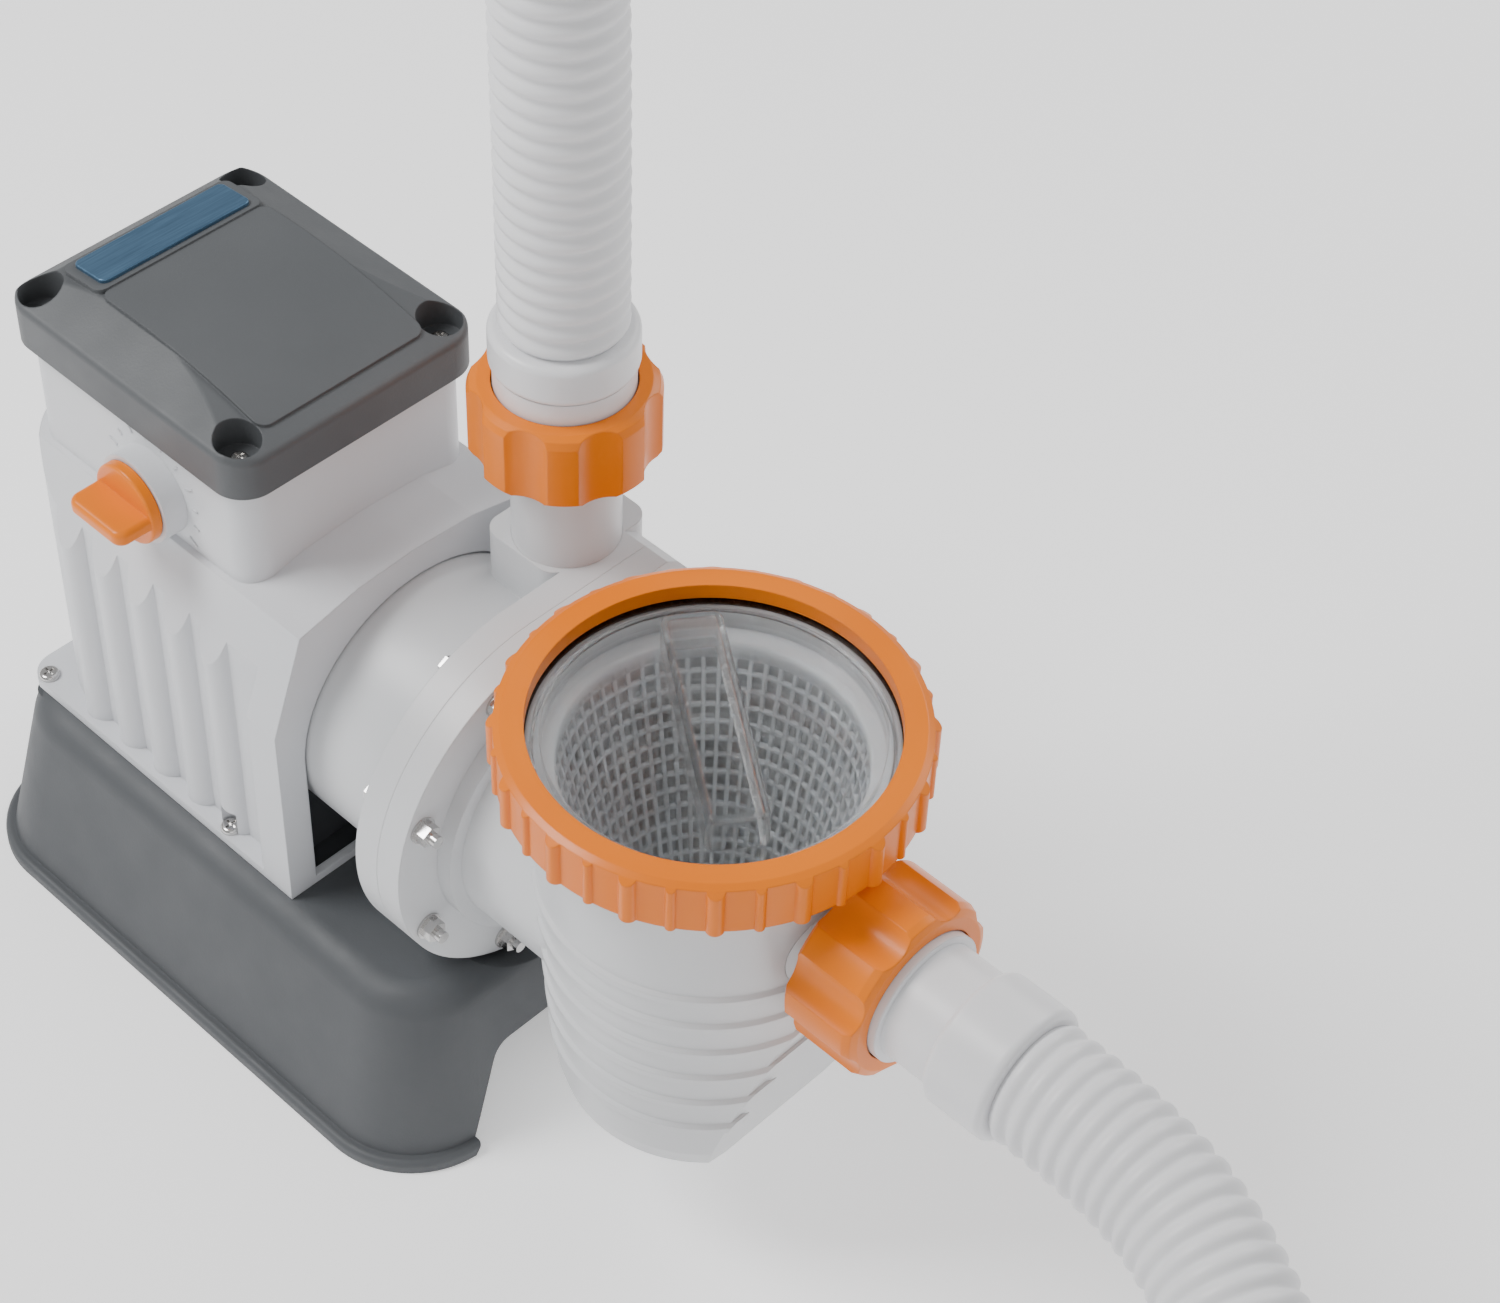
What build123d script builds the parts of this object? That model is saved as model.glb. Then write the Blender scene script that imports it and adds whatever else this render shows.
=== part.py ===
from build123d import *
import math
import os

os.makedirs("parts", exist_ok=True)

# Pool pump with a strainer pot, on a base tray. Millimetres.
# X runs from the motor to the inlet port, Z is up, and the pump stands on z = 0.
# The origin is below the middle of the pump, without its hoses.

# Base tray
base_rear = -221.0
base_front = 61.0
base_half_width = 103.0
base_corner = 40.0
base_lip_height = 6.0
base_lip = 3.0
base_lip_round = 2.5
base_top = 80.0
base_top_rear = -209.0
base_top_front = 46.0
base_top_half_width = 83.0
base_top_corner = 32.0
base_shoulder = 14.0
base_wall = 3.5
arch_floor_half = 69.0
arch_top_half = 46.0
arch_height = 42.0
base_rib_depth = 16.0
base_rib_thickness = 2.5
base_rib_x = (-160.0, -110.0, -30.0)
well_gap = 3.0
well_rear_gap = 4.0
arch_round = 10.5
foot_boss_radius = 6.0
foot_pilot_radius = 2.0

# Motor housing: lower body, foot flange, front frame and switch box neck
axis_height = 149.0
housing_rear = -204.0
housing_front = -35.0
housing_wall = 3.5
housing_shoulder = 173.0
housing_corner_y = 58.0
housing_corner_z = 216.0
housing_top = 224.0
housing_valley = 66.0
housing_rib_radius = 8.5
housing_rib_crest = 71.0
housing_rib_pitch = 22.0
housing_rib_first = -166.0
housing_rib_count = 5
housing_rear_corner = 34.0
frame_half_width = 74.0
frame_depth = 17.0
frame_corner_shrink = 0.8
frame_crown_drop = 1.5
foot_thickness = 4.0
foot_rear = -207.0
foot_corner = 12.0
foot_screw_x = (-197.0, -78.0)
foot_screw_y = 69.0
foot_pad_radius = 5.0
foot_head_pocket = 4.8
foot_pocket_height = 12.0
foot_hole_radius = 2.1
neck_rear = -196.0
neck_front = -65.0
neck_half_width = 55.5
neck_top = 263.0
neck_wall = 3.0
neck_corner = 12.0
cover_boss_inset = 5.0
cover_boss_radius = 4.5
cover_boss_length = 30.0
cover_shank_radius = 1.6
cover_pilot_depth = 20.0

# Cable gland at the rear; the mains lead itself is not part of the model
gland_y = 15.0
gland_z = 185.0
gland_thread = 8.0
gland_inside = 5.5
gland_reach = 18.0
gland_bore = 4.0
gland_hex = 21.0
gland_hex_length = 6.0
gland_dome = 9.5
gland_dome_round = 3.0
gland_nut_hex = 20.0
gland_nut_length = 4.0
thread_clearance = 0.05

# Cover of the switch box
gasket_thickness = 2.0
gasket_width = 2.5
cover_rear = -200.0
cover_front = -60.5
cover_half_width = 60.0
cover_corner = 14.0
cover_skirt = 20.0
crown_rear_top = 283.0
crown_shoulder = -190.0
crown_shoulder_top = 289.5
crown_middle = -130.0
crown_middle_top = 293.2
crown_front_top = 282.5
crown_side_top = 283.5
crown_slope_half = 36.0
crown_slope_top = 294.2
crown_round = 3.5
panel_rear = -163.0
panel_front = -70.0
panel_half_width = 40.0
panel_corner = 5.0
panel_proud = 1.2
seat_rear = -187.0
seat_rear_top = 292.5
seat_front_top = 294.6
seat_corner = 4.0
cover_wall = 3.0
cover_screw_inset_x = 11.0
cover_screw_y = 49.0
pocket_radius = 9.0
pocket_floor = 275.0
pocket_wall = 2.0
cover_hole_radius = 1.9
badge_length = 72.0
badge_width = 19.0
badge_thickness = 1.6
badge_corner = 3.0
badge_round = 0.6

# Pan head screws of the cover and the foot: sizes of the head are shares of its radius
cover_screw_length = 26.0
cover_screw_head = 3.6
foot_screw_length = 22.0
foot_screw_head = 4.4
head_height = 0.55
head_round = 0.4
drive_reach = 0.6
drive_floor = 0.25
drive_half = 0.5

# Timer on the side of the switch box
timer_x = -119.5
timer_z = 235.0
timer_collar_radius = 19.0
timer_collar_reach = 10.0
knob_radius = 17.0
knob_grip_width = 7.0
knob_grip_reach = 15.0
spindle_radius = 3.0
spindle_clearance = 0.3
knob_gap = 0.4
knob_disc = 4.5
knob_disc_round = 1.2
knob_grip_seat = 3.0
knob_grip_round = 5.0
knob_grip_edge = 2.5
spindle_in_knob = 6.0
spindle_inside = 8.0
timer_gap = 0.2
timer_half_length = 20.0
timer_half_height = 19.0
timer_depth = 24.0
case_round = 3.0

# Electrical parts in the switch box
capacitor_radius = 16.0
capacitor_rear = -185.0
capacitor_front = -112.0
capacitor_y = 26.0
capacitor_z = 236.0
capacitor_round = 2.0
terminal_rear = -96.0
terminal_front = -76.0
terminal_inner_y = 2.0
terminal_base = 226.0
terminal_top = 246.0
terminal_pitch = 10.0
terminal_count = 4
terminal_hole_radius = 3.0
terminal_hole_depth = 8.0

# Pump body: barrel, flanges, volute block and discharge neck
barrel_radius = 60.0
barrel_rear = -45.0
flange_rear = 15.0
flange_split = 27.0
flange_front = 39.0
flange_radius = 79.0
chamber_radius = 54.0
chamber_rear = -20.0
back_wall = 6.0
block_rear = -24.0
block_inner_y = 23.0
block_outer_y = 74.0
block_top = 228.0
block_base = 139.0
block_corner = 8.0
barrel_wall = 5.0
outlet_base = 159.0
lug_outer_y = 86.0
lug_bend_y = 83.0
lug_bend_z = 157.0
lug_outer_z = 197.0
lug_corner_y = 66.0
lug_corner_z = 224.0
lug_flat_y = 60.0
body_seal_outer = 61.0
body_seal_inner = 57.0
body_seal_depth = 3.0
discharge_x = 0.0
discharge_y = 45.0
port_neck_radius = 21.0
port_seat = 8.0
port_bore_radius = 16.5

# Flange fasteners
bolt_count = 8
bolt_circle = 71.5
bolt_radius = 2.5
bolt_tip = 48.0
stud_depth = 8.0
bolt_head_width = 8.0
bolt_head_height = 3.5
washer_radius = 5.6
washer_thickness = 1.0
nut_height = 4.4

# Strainer pot
pot_x = 122.0
pot_top = 239.0
pot_collar_base = 228.0
pot_collar_radius = 72.8
pot_radius_top = 67.0
pot_radius_low = 57.5
pot_low = 72.0
pot_floor = 60.0
pot_floor_radius = 48.0
pot_wall = 4.0
pot_ledge = 227.0
pot_ledge_radius = 65.2
band_count = 6
band_pitch = 16.4
band_first = 90.0
band_height = 4.0
band_proud = 1.5
facet_low_x = 161.5
facet_high_x = 186.9
facet_high_z = 164.0
tube_radius = 54.0
tube_collar_radius = 60.0
tube_collar_depth = 7.0
eye_radius = 19.5
duct_radius = 23.0
duct_rear = 7.0
tube_web = 5.0
port_root = 40.0
facet_drop = 20.0
pot_floor_round = 4.0
band_edge = 0.5
collar_drop = 3.0
collar_ridge = 1.5
collar_pitch = 3.4
collar_width = 1.6

# Union nuts and hose ports
inlet_height = 188.0
inlet_neck_radius = 23.5
inlet_bore_radius = 19.0
thread_radius = 28.2
thread_length = 14.0
thread_ridge = 0.8
thread_turns = 3
thread_lead = 1.5
thread_pitch = 4.0
thread_width = 2.0
port_gasket = 2.0
cuff_flange_radius = 28.6
cuff_flange_length = 8.0
cuff_shoulder_radius = 26.4
cuff_round = 3.0
link_shoulder_length = 15.0
link_collar_radius = 27.8
intake_shoulder_length = 9.0
port_gasket_radius = 27.0
nut_length = 32.0
nut_peak = 36.0
nut_valley = 32.4
nut_lobes = 8
nut_scoop = 15.0
nut_foot = 1.5
nut_crown = 4.0
nut_shoulder = 1.2
nut_bore = 29.2
nut_lip_bore = 27.0
nut_lip = 4.5
inlet_thread_start = 194.0
discharge_thread_start = 274.0
nut_lead = 2.0

# Lid, lock ring and basket
ring_top = 250.0
ring_opening = 66.5
ring_outer = 77.4
ring_bore = 73.6
ring_lip = 6.4
ring_ribs = 16
ring_big_rib = 3.4
ring_big_rib_at = 76.4
ring_small_rib = 2.0
ring_small_rib_at = 76.9
ring_side_drop = 7.0
ring_edge_drop = 1.4
ring_edge_inset = 2.5
lid_radius = 71.8
lid_rim_base = 240.0
lid_rim = 3.2
lid_dish_radius = 64.0
lid_dish_floor = 232.5
lid_wall = 3.0
handle_length = 101.0
handle_width = 23.0
handle_top = 251.0
handle_turn = -35.6
handle_x = 120.0
handle_y = 2.0
handle_corner = 4.0
handle_round = 2.5
handle_wall = 2.5
lid_round = 1.5
lid_seal_radius = 68.4
lid_seal_section = 2.0
basket_rim_radius = 64.6
basket_rim = 3.0
basket_top_radius = 58.0
basket_low_radius = 36.0
basket_floor = 118.0
basket_wall = 2.2
basket_window = 22.0
basket_straight = 4.0

# Motor
shaft_radius = 6.0
shaft_rear = -197.0
shaft_front = 10.0
running_gap = 0.04
plate_thickness = 5.0
shell_radius = 56.0
shell_wall = 3.0
shell_rear = -172.0
stator_rear = -160.0
stator_front = -90.0
stator_bore = 31.0
rotor_radius = 30.3
shield_thickness = 7.0
bearing_radius = 16.0
bearing_width = 10.0
winding_length = 9.0
winding_inner = 33.0
winding_outer = 49.0
fan_radius = 46.0
fan_blades = 7
fan_blade_length = 10.0
impeller_radius = 45.0
impeller_blades = 6
impeller_rear = -12.0
impeller_plate = 3.0
impeller_blade_height = 12.0
seal_radius = 11.0
seal_head_radius = 9.5
seal_seat_gap = 0.5
seal_face_gap = 0.1
plate_gap = 0.6
plate_foot_gap = 3.0
plate_shoulder = 20.0
plate_shaft_gap = 4.0
vent_count = 6
vent_circle = 38.0
vent_radius = 7.0
slot_count = 24
slot_circle = 37.0
slot_radius = 2.0
winding_round = 4.0
fan_gap = 4.0
fan_disc = 2.0
fan_hub = 12.0
fan_blade_root = 10.0
fan_blade_half = 1.1
hub_radius = 10.5
hub_cap = 3.0
vane_outer = 31.0
vane_inner = 28.6
vane_centre = 24.0
vane_root = 14.0
shroud_thickness = 2.0
shroud_lap = 1.0

# Hoses: 38 mm bore, 48 mm over the corrugations
hose_radius = 24.0
hose_wall = 2.0
bend_share = 0.45
intake_cuff_end = 275.0
intake_collar_start = 248.0
intake_collar_radius = 27.0
intake_tube_radius = 23.4
link_cuff_end = 330.0
end_cuff_length = 45.0
end_cuff_radius = 26.5
# The intake hose leaves level, bends down and lies in one open loop on the floor.
intake_route = [
    (275, 0, 188),
    (321, 0, 188),
    (367, -12, 183),
    (411, -36, 172),
    (454, -70, 149),
    (488, -114, 115),
    (511, -171, 77),
    (520, -250, 46),
    (506, -340, 27),
    (452, -426, 24),
    (362, -476, 24),
    (258, -480, 24),
    (165, -432, 24),
    (106, -346, 24),
    (103, -250, 24),
    (150, -167, 24),
    (236, -123, 26.5),
    (328, -128, 26.5),
]
# The link hose rises almost straight to the filter, which is not part of the pump.
link_route = [
    (0, 45, 330),
    (0, 45, 400),
    (-2, 46, 480),
    (-6, 46, 560),
    (-8, 47, 630),
]

margin = 1.0


def block(x0, x1, y0, y1, z0, z1):
    return Pos((x0 + x1) / 2, (y0 + y1) / 2, (z0 + z1) / 2) * Box(x1 - x0, y1 - y0, z1 - z0)


def along_x(radius, x0, x1, y=0.0, z=axis_height):
    return Pos((x0 + x1) / 2, y, z) * Rot(0, 90, 0) * Cylinder(radius, x1 - x0)


def along_y(radius, y0, y1, x, z):
    return Pos(x, (y0 + y1) / 2, z) * Rot(90, 0, 0) * Cylinder(radius, y1 - y0)


def along_z(radius, z0, z1, x, y):
    return Pos(x, y, (z0 + z1) / 2) * Cylinder(radius, z1 - z0)


def sleeve_x(outer, inner, x0, x1, y=0.0, z=axis_height):
    return along_x(outer, x0, x1, y, z) - along_x(inner, x0 - margin, x1 + margin, y, z)


def sleeve_z(outer, inner, z0, z1, x, y):
    return along_z(outer, z0, z1, x, y) - along_z(inner, z0 - margin, z1 + margin, x, y)


def hex_x(width, x0, x1, y, z):
    """A hexagon bar along X, given by its width across the flats."""
    shape = extrude(RegularPolygon(width / 2, 6, major_radius=False), x1 - x0)
    return Pos(x0, y, z) * Rot(0, 90, 0) * shape


def rounded_plate(x0, x1, half_width, corner, z0, z1):
    outline = Pos((x0 + x1) / 2, 0, z0) * RectangleRounded(x1 - x0, 2 * half_width, corner)
    return extrude(outline, z1 - z0)


def profile_yz(points, x0, x1):
    """A closed outline given as (y, z) points, extruded along X."""
    face = Plane.YZ * make_face(Polyline(*points, close=True))
    return Pos(x0, 0, 0) * extrude(face, x1 - x0)


def turned(points, x):
    """A closed outline given as (radius, z) points, turned about the vertical line at x."""
    face = Plane.XZ * make_face(Polyline(*points, close=True))
    return Pos(x, 0, 0) * revolve(face, Axis.Z)


def save(shape, name):
    export_step(Compound(children=list(shape.solids())) if len(shape.solids()) > 1 else shape.solids()[0],
                "parts/" + name + ".step")
    print(name, len(shape.solids()), round(shape.volume))


# Base tray


def base_form(inset, bottom, top):
    """The tray's outer form, or the hollow inside it when inset is the wall."""
    low = Pos((base_rear + base_front) / 2, 0, bottom) * RectangleRounded(
        base_front - base_rear - 2 * inset, 2 * (base_half_width - inset), base_corner - inset)
    high = Pos((base_top_rear + base_top_front) / 2, 0, top) * RectangleRounded(
        base_top_front - base_top_rear - 2 * inset, 2 * (base_top_half_width - inset),
        base_top_corner - inset)
    return loft([low, high])


def arch_cutter():
    points = [(-arch_floor_half, -margin), (arch_floor_half, -margin), (arch_top_half, arch_height),
              (-arch_top_half, arch_height)]
    cutter = profile_yz(points, base_top_front - base_shoulder, base_front + 2 * base_lip)
    return fillet(cutter.edges().filter_by(Axis.X).group_by(Axis.Z)[-1], arch_round)


def screw_boss(x, y):
    return along_z(foot_boss_radius, base_top / 2, base_top - base_wall, x, y)


def make_base_tray():
    form = base_form(0, 0, base_top)
    form = fillet(form.faces().sort_by(Axis.Z)[-1].edges(), base_shoulder)
    lip = rounded_plate(base_rear - base_lip, base_front + base_lip, base_half_width + base_lip,
                        base_corner + base_lip, 0, base_lip_height)
    lip = fillet(lip.faces().sort_by(Axis.Z)[-1].edges(), base_lip_round)
    hollow = base_form(base_wall, 0, base_top - base_wall)
    tray = form + lip - hollow
    rib_top = base_top - base_wall / 2
    for x in base_rib_x:
        rib = block(x - base_rib_thickness / 2, x + base_rib_thickness / 2, -base_half_width, base_half_width,
                    base_top - base_wall - base_rib_depth, rib_top)
        tray = tray + (rib & form)
    well_radius = flange_radius + well_gap
    well_rear = flange_rear - well_rear_gap
    well = along_x(well_radius + base_wall, well_rear - base_wall, base_front)
    tray = tray + (well & form)
    tray = tray - along_x(well_radius, well_rear, base_front + margin)
    for x in foot_screw_x:
        for y in (-foot_screw_y, foot_screw_y):
            tray = tray + screw_boss(x, y)
            tray = tray - along_z(foot_pilot_radius, base_top / 2 - margin, base_top + margin, x, y)
    return tray - arch_cutter()


# Motor housing


def frame_outline(inset):
    side = frame_half_width - inset
    corner = housing_corner_y - inset * frame_corner_shrink
    corner_top = housing_corner_z - inset
    crown = housing_top - frame_crown_drop - inset
    points = [(-side, base_top), (side, base_top), (side, housing_shoulder), (corner, corner_top),
              (corner / 2, crown), (0, housing_top - inset), (-corner / 2, crown), (-corner, corner_top),
              (-side, housing_shoulder)]
    return profile_yz(points, housing_rear - margin, housing_front)


def housing_plan(half_width, rear, front, corner):
    plan = Pos((rear + front) / 2, 0) * RectangleRounded(front - rear, 2 * half_width, corner)
    square_end = Pos(front - corner, 0) * Rectangle(2 * corner, 2 * half_width)
    return plan + square_end


def make_motor_housing():
    plan = housing_plan(housing_valley, housing_rear, housing_front - frame_depth, housing_rear_corner)
    for i in range(housing_rib_count):
        x = housing_rib_first + i * housing_rib_pitch
        reach = housing_rib_crest - housing_rib_radius
        plan = plan + Pos(x, reach) * Circle(housing_rib_radius)
        plan = plan + Pos(x, -reach) * Circle(housing_rib_radius)
    plan = plan + Pos(housing_front - frame_depth / 2, 0) * Rectangle(frame_depth, 2 * frame_half_width)
    body = extrude(Pos(0, 0, base_top) * plan, housing_top - base_top) & frame_outline(0)
    foot = rounded_plate(foot_rear, housing_front, frame_half_width, foot_corner, base_top,
                         base_top + foot_thickness)
    foot = foot + block(housing_front - 2 * foot_corner, housing_front, -frame_half_width, frame_half_width,
                        base_top, base_top + foot_thickness)
    neck = rounded_plate(neck_rear, neck_front, neck_half_width, neck_corner, housing_shoulder, neck_top)
    collar = along_y(timer_collar_radius, -neck_half_width - timer_collar_reach, -neck_half_width + margin,
                     timer_x, timer_z)
    shell = body + foot + neck + collar
    cavity = extrude(Pos(0, 0, base_top - margin) * housing_plan(
        housing_valley - housing_wall, housing_rear + housing_wall, housing_front - housing_wall,
        housing_rear_corner - housing_wall), housing_top - base_top) & frame_outline(housing_wall).moved(
        Location((0, 0, -margin)))
    room = rounded_plate(neck_rear + neck_wall, neck_front - neck_wall, neck_half_width - neck_wall,
                         neck_corner - neck_wall, housing_shoulder, neck_top + margin)
    mouth = along_x(barrel_radius + margin, housing_front - 2 * housing_wall, housing_front + margin)
    mouth = mouth + block(housing_front - 2 * housing_wall, housing_front + margin, -barrel_radius - margin,
                          barrel_radius + margin, base_top + foot_thickness, axis_height)
    shell = shell - cavity - room - mouth
    for x in foot_screw_x:
        for y in (-foot_screw_y, foot_screw_y):
            seat = base_top + foot_thickness
            shell = shell + along_z(foot_pad_radius, base_top, seat, x, y)
            shell = shell - along_z(foot_head_pocket, seat, seat + foot_pocket_height, x, y)
            shell = shell - along_z(foot_hole_radius, base_top - margin, seat + margin, x, y)
    shell = shell - along_y(spindle_radius + spindle_clearance, -neck_half_width - 2 * timer_collar_reach,
                            -neck_half_width + 2 * neck_wall, timer_x, timer_z)
    for x in cover_screw_places():
        for y in (-cover_screw_y, cover_screw_y):
            boss = along_z(cover_boss_radius, neck_top - cover_boss_length, neck_top, x, y)
            pilot = along_z(cover_shank_radius, neck_top - cover_pilot_depth, neck_top + margin, x, y)
            shell = shell + boss - pilot
    return shell - along_x(gland_thread + thread_clearance, housing_rear - margin,
                           housing_rear + 2 * housing_wall, gland_y, gland_z)


def make_cable_gland():
    inner_end = housing_rear + housing_wall + gland_inside
    hex_end = housing_rear - gland_hex_length
    body = along_x(gland_thread, housing_rear, inner_end, gland_y, gland_z)
    body = body + hex_x(gland_hex, hex_end, housing_rear, gland_y, gland_z)
    dome = along_x(gland_dome, housing_rear - gland_reach, hex_end, gland_y, gland_z)
    dome = fillet(dome.edges().sort_by(Axis.X)[0], gland_dome_round)
    bore = along_x(gland_bore, housing_rear - 2 * gland_reach, inner_end + margin, gland_y, gland_z)
    return body + dome - bore


def make_gland_nut():
    start = housing_rear + housing_wall
    end = start + gland_nut_length
    nut = hex_x(gland_nut_hex, start, end, gland_y, gland_z)
    return nut - along_x(gland_thread + thread_clearance, start - margin, end + margin, gland_y, gland_z)


# Switch box cover


def cover_block(inset, top):
    base = neck_top + gasket_thickness
    return rounded_plate(cover_rear + inset, cover_front - inset, cover_half_width - inset,
                         cover_corner - inset, base, top)


def crown_arch(proud):
    """The cover's top seen from the side: a slope at the rear, then a long arch down to the front."""
    low = neck_top + gasket_thickness
    face = make_face(Wire([
        Line((cover_rear, low), (cover_rear, crown_rear_top + proud)),
        Line((cover_rear, crown_rear_top + proud), (crown_shoulder, crown_shoulder_top + proud)),
        ThreePointArc((crown_shoulder, crown_shoulder_top + proud), (crown_middle, crown_middle_top + proud),
                      (cover_front, crown_front_top + proud)),
        Line((cover_front, crown_front_top + proud), (cover_front, low)),
        Line((cover_front, low), (cover_rear, low)),
    ]))
    return Pos(0, cover_half_width, 0) * extrude(Plane.XZ * face, 2 * cover_half_width)


def crown_sides():
    """The cover's top seen from the end, with a long slope down to each side."""
    low = neck_top + gasket_thickness
    points = [(-cover_half_width, low), (cover_half_width, low), (cover_half_width, crown_side_top),
              (crown_slope_half, crown_slope_top), (-crown_slope_half, crown_slope_top),
              (-cover_half_width, crown_side_top)]
    return profile_yz(points, cover_rear, cover_front)


def cover_crown():
    crown = cover_block(0, crown_middle_top + margin) & crown_arch(0) & crown_sides()
    rim = [edge for edge in crown.edges() if edge.center().Z > crown_front_top - margin]
    return fillet(rim, crown_round)


def make_box_cover():
    low = crown_front_top - cover_wall / 2
    panel = rounded_plate(panel_rear, panel_front, panel_half_width, panel_corner, low, cover_top())
    seat = rounded_plate(seat_rear, panel_rear, panel_half_width, seat_corner, low, cover_top())
    seat_points = [(seat_rear, low), (seat_rear, seat_rear_top), (panel_rear, seat_front_top),
                   (panel_rear, low)]
    wedge = extrude(Plane.XZ * make_face(Polyline(*seat_points, close=True)), 2 * cover_half_width)
    seat = seat & Pos(0, cover_half_width, 0) * wedge
    form = cover_crown()
    hollow = cover_block(cover_wall, crown_middle_top) & crown_arch(-cover_wall)
    hollow = hollow & Pos(0, 0, -cover_wall) * crown_sides()
    cover = form + (panel & crown_arch(panel_proud)) + seat - hollow
    floor = neck_top + gasket_thickness
    for x in cover_screw_places():
        for y in (-cover_screw_y, cover_screw_y):
            post = along_z(pocket_radius + pocket_wall, floor, cover_top(), x, y)
            cover = cover + (post & form)
            cover = cover - along_z(pocket_radius, pocket_floor, cover_top() + margin, x, y)
            cover = cover - along_z(cover_hole_radius, floor - margin, pocket_floor + margin, x, y)
    return cover


def cover_top():
    """A height that clears everything on the cover."""
    return seat_front_top + margin


def cover_screw_places():
    return (neck_rear + neck_wall + cover_boss_inset, neck_front - neck_wall - cover_boss_inset)


def make_cover_gasket():
    outer = rounded_plate(neck_rear, neck_front, neck_half_width, neck_corner, neck_top,
                          neck_top + gasket_thickness)
    inner = rounded_plate(neck_rear + gasket_width, neck_front - gasket_width, neck_half_width - gasket_width,
                          neck_corner - gasket_width, neck_top - margin, neck_top + 2 * gasket_thickness)
    return outer - inner


def make_badge_plate():
    """A blank plate on the tilted seat at the rear of the cover."""
    tilt = math.degrees(math.atan2(seat_front_top - seat_rear_top, panel_rear - seat_rear))
    plate = extrude(RectangleRounded(badge_width, badge_length, badge_corner), badge_thickness)
    plate = fillet(plate.faces().sort_by(Axis.Z)[-1].edges(), badge_round)
    middle = Pos((seat_rear + panel_rear) / 2, 0, (seat_rear_top + seat_front_top) / 2)
    return middle * Rot(0, -tilt, 0) * plate


def pan_screw(x, y, seat, length, head, shank):
    top = seat + head
    reach = head * drive_reach
    low = seat + head * drive_floor
    screw = along_z(head, seat, seat + head * head_height, x, y)
    screw = fillet(screw.edges().sort_by(Axis.Z)[-1], head * head_round)
    screw = screw + along_z(shank, seat - length, seat, x, y)
    screw = screw - block(x - reach, x + reach, y - drive_half, y + drive_half, low, top)
    return screw - block(x - drive_half, x + drive_half, y - reach, y + reach, low, top)


def make_cover_screws():
    places = [(x, y) for x in cover_screw_places() for y in (-cover_screw_y, cover_screw_y)]
    return [pan_screw(x, y, pocket_floor, cover_screw_length, cover_screw_head, cover_shank_radius)
            for x, y in places]


def make_foot_screws():
    places = [(x, y) for x in foot_screw_x for y in (-foot_screw_y, foot_screw_y)]
    return [pan_screw(x, y, base_top + foot_thickness, foot_screw_length, foot_screw_head, foot_pilot_radius)
            for x, y in places]


# Timer


def knob_rear():
    """The knob's back face, just off the collar."""
    return -neck_half_width - timer_collar_reach - knob_gap


def make_timer_knob():
    rear = knob_rear()
    front = rear - knob_disc
    disc = along_y(knob_radius, front, rear, timer_x, timer_z)
    disc = fillet(disc.edges().sort_by(Axis.Y)[0], knob_disc_round)
    half = knob_radius - margin
    grip = block(timer_x - half, timer_x + half, front - knob_grip_reach, rear - knob_grip_seat,
                 timer_z - knob_grip_width / 2, timer_z + knob_grip_width / 2)
    grip = fillet(grip.edges().filter_by(Axis.Z).group_by(Axis.Y)[0], knob_grip_round)
    grip = fillet(grip.edges().filter_by(Axis.X).group_by(Axis.Y)[0], knob_grip_edge)
    return disc + grip - along_y(spindle_radius, rear - spindle_in_knob, rear + margin, timer_x, timer_z)


def make_knob_spindle():
    return along_y(spindle_radius, knob_rear() - spindle_in_knob, spindle_inside - neck_half_width, timer_x,
                   timer_z)


def make_timer_unit():
    front = -neck_half_width + neck_wall + timer_gap
    case = block(timer_x - timer_half_length, timer_x + timer_half_length, front, front + timer_depth,
                 timer_z - timer_half_height, timer_z + timer_half_height)
    case = fillet(case.edges().filter_by(Axis.Y), case_round)
    return case - along_y(spindle_radius + timer_gap, front - margin,
                          spindle_inside + timer_gap - neck_half_width, timer_x, timer_z)


def make_capacitor():
    can = along_x(capacitor_radius, capacitor_rear, capacitor_front, capacitor_y, capacitor_z)
    return fillet(can.edges(), capacitor_round)


def make_terminal_block():
    outer_y = terminal_inner_y + terminal_count * terminal_pitch
    middle_x = (terminal_rear + terminal_front) / 2
    body = block(terminal_rear, terminal_front, terminal_inner_y, outer_y, terminal_base, terminal_top)
    for i in range(terminal_count):
        y = terminal_inner_y + (i + 0.5) * terminal_pitch
        body = body - along_z(terminal_hole_radius, terminal_top - terminal_hole_depth, terminal_top + margin,
                              middle_x, y)
    return body


# Pump body


def flange_outline(x0, x1):
    """A disc with a flat-topped lug on the discharge side."""
    points = [(0, axis_height), (lug_bend_y, lug_bend_z), (lug_outer_y, lug_outer_z),
              (lug_corner_y, lug_corner_z), (lug_flat_y, block_top), (0, block_top)]
    return along_x(flange_radius, x0, x1) + profile_yz(points, x0, x1)


def bolt_places():
    return [(i + 0.5) * 360.0 / bolt_count for i in range(bolt_count)]


def bolt_point(angle):
    a = math.radians(angle)
    return bolt_circle * math.cos(a), axis_height + bolt_circle * math.sin(a)


def stud_angles():
    """The two places where the discharge block leaves no room for a bolt head."""
    return bolt_places()[:2]


def stud_start():
    """A stud is sunk in the flange from its front face."""
    return flange_split - stud_depth


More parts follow.
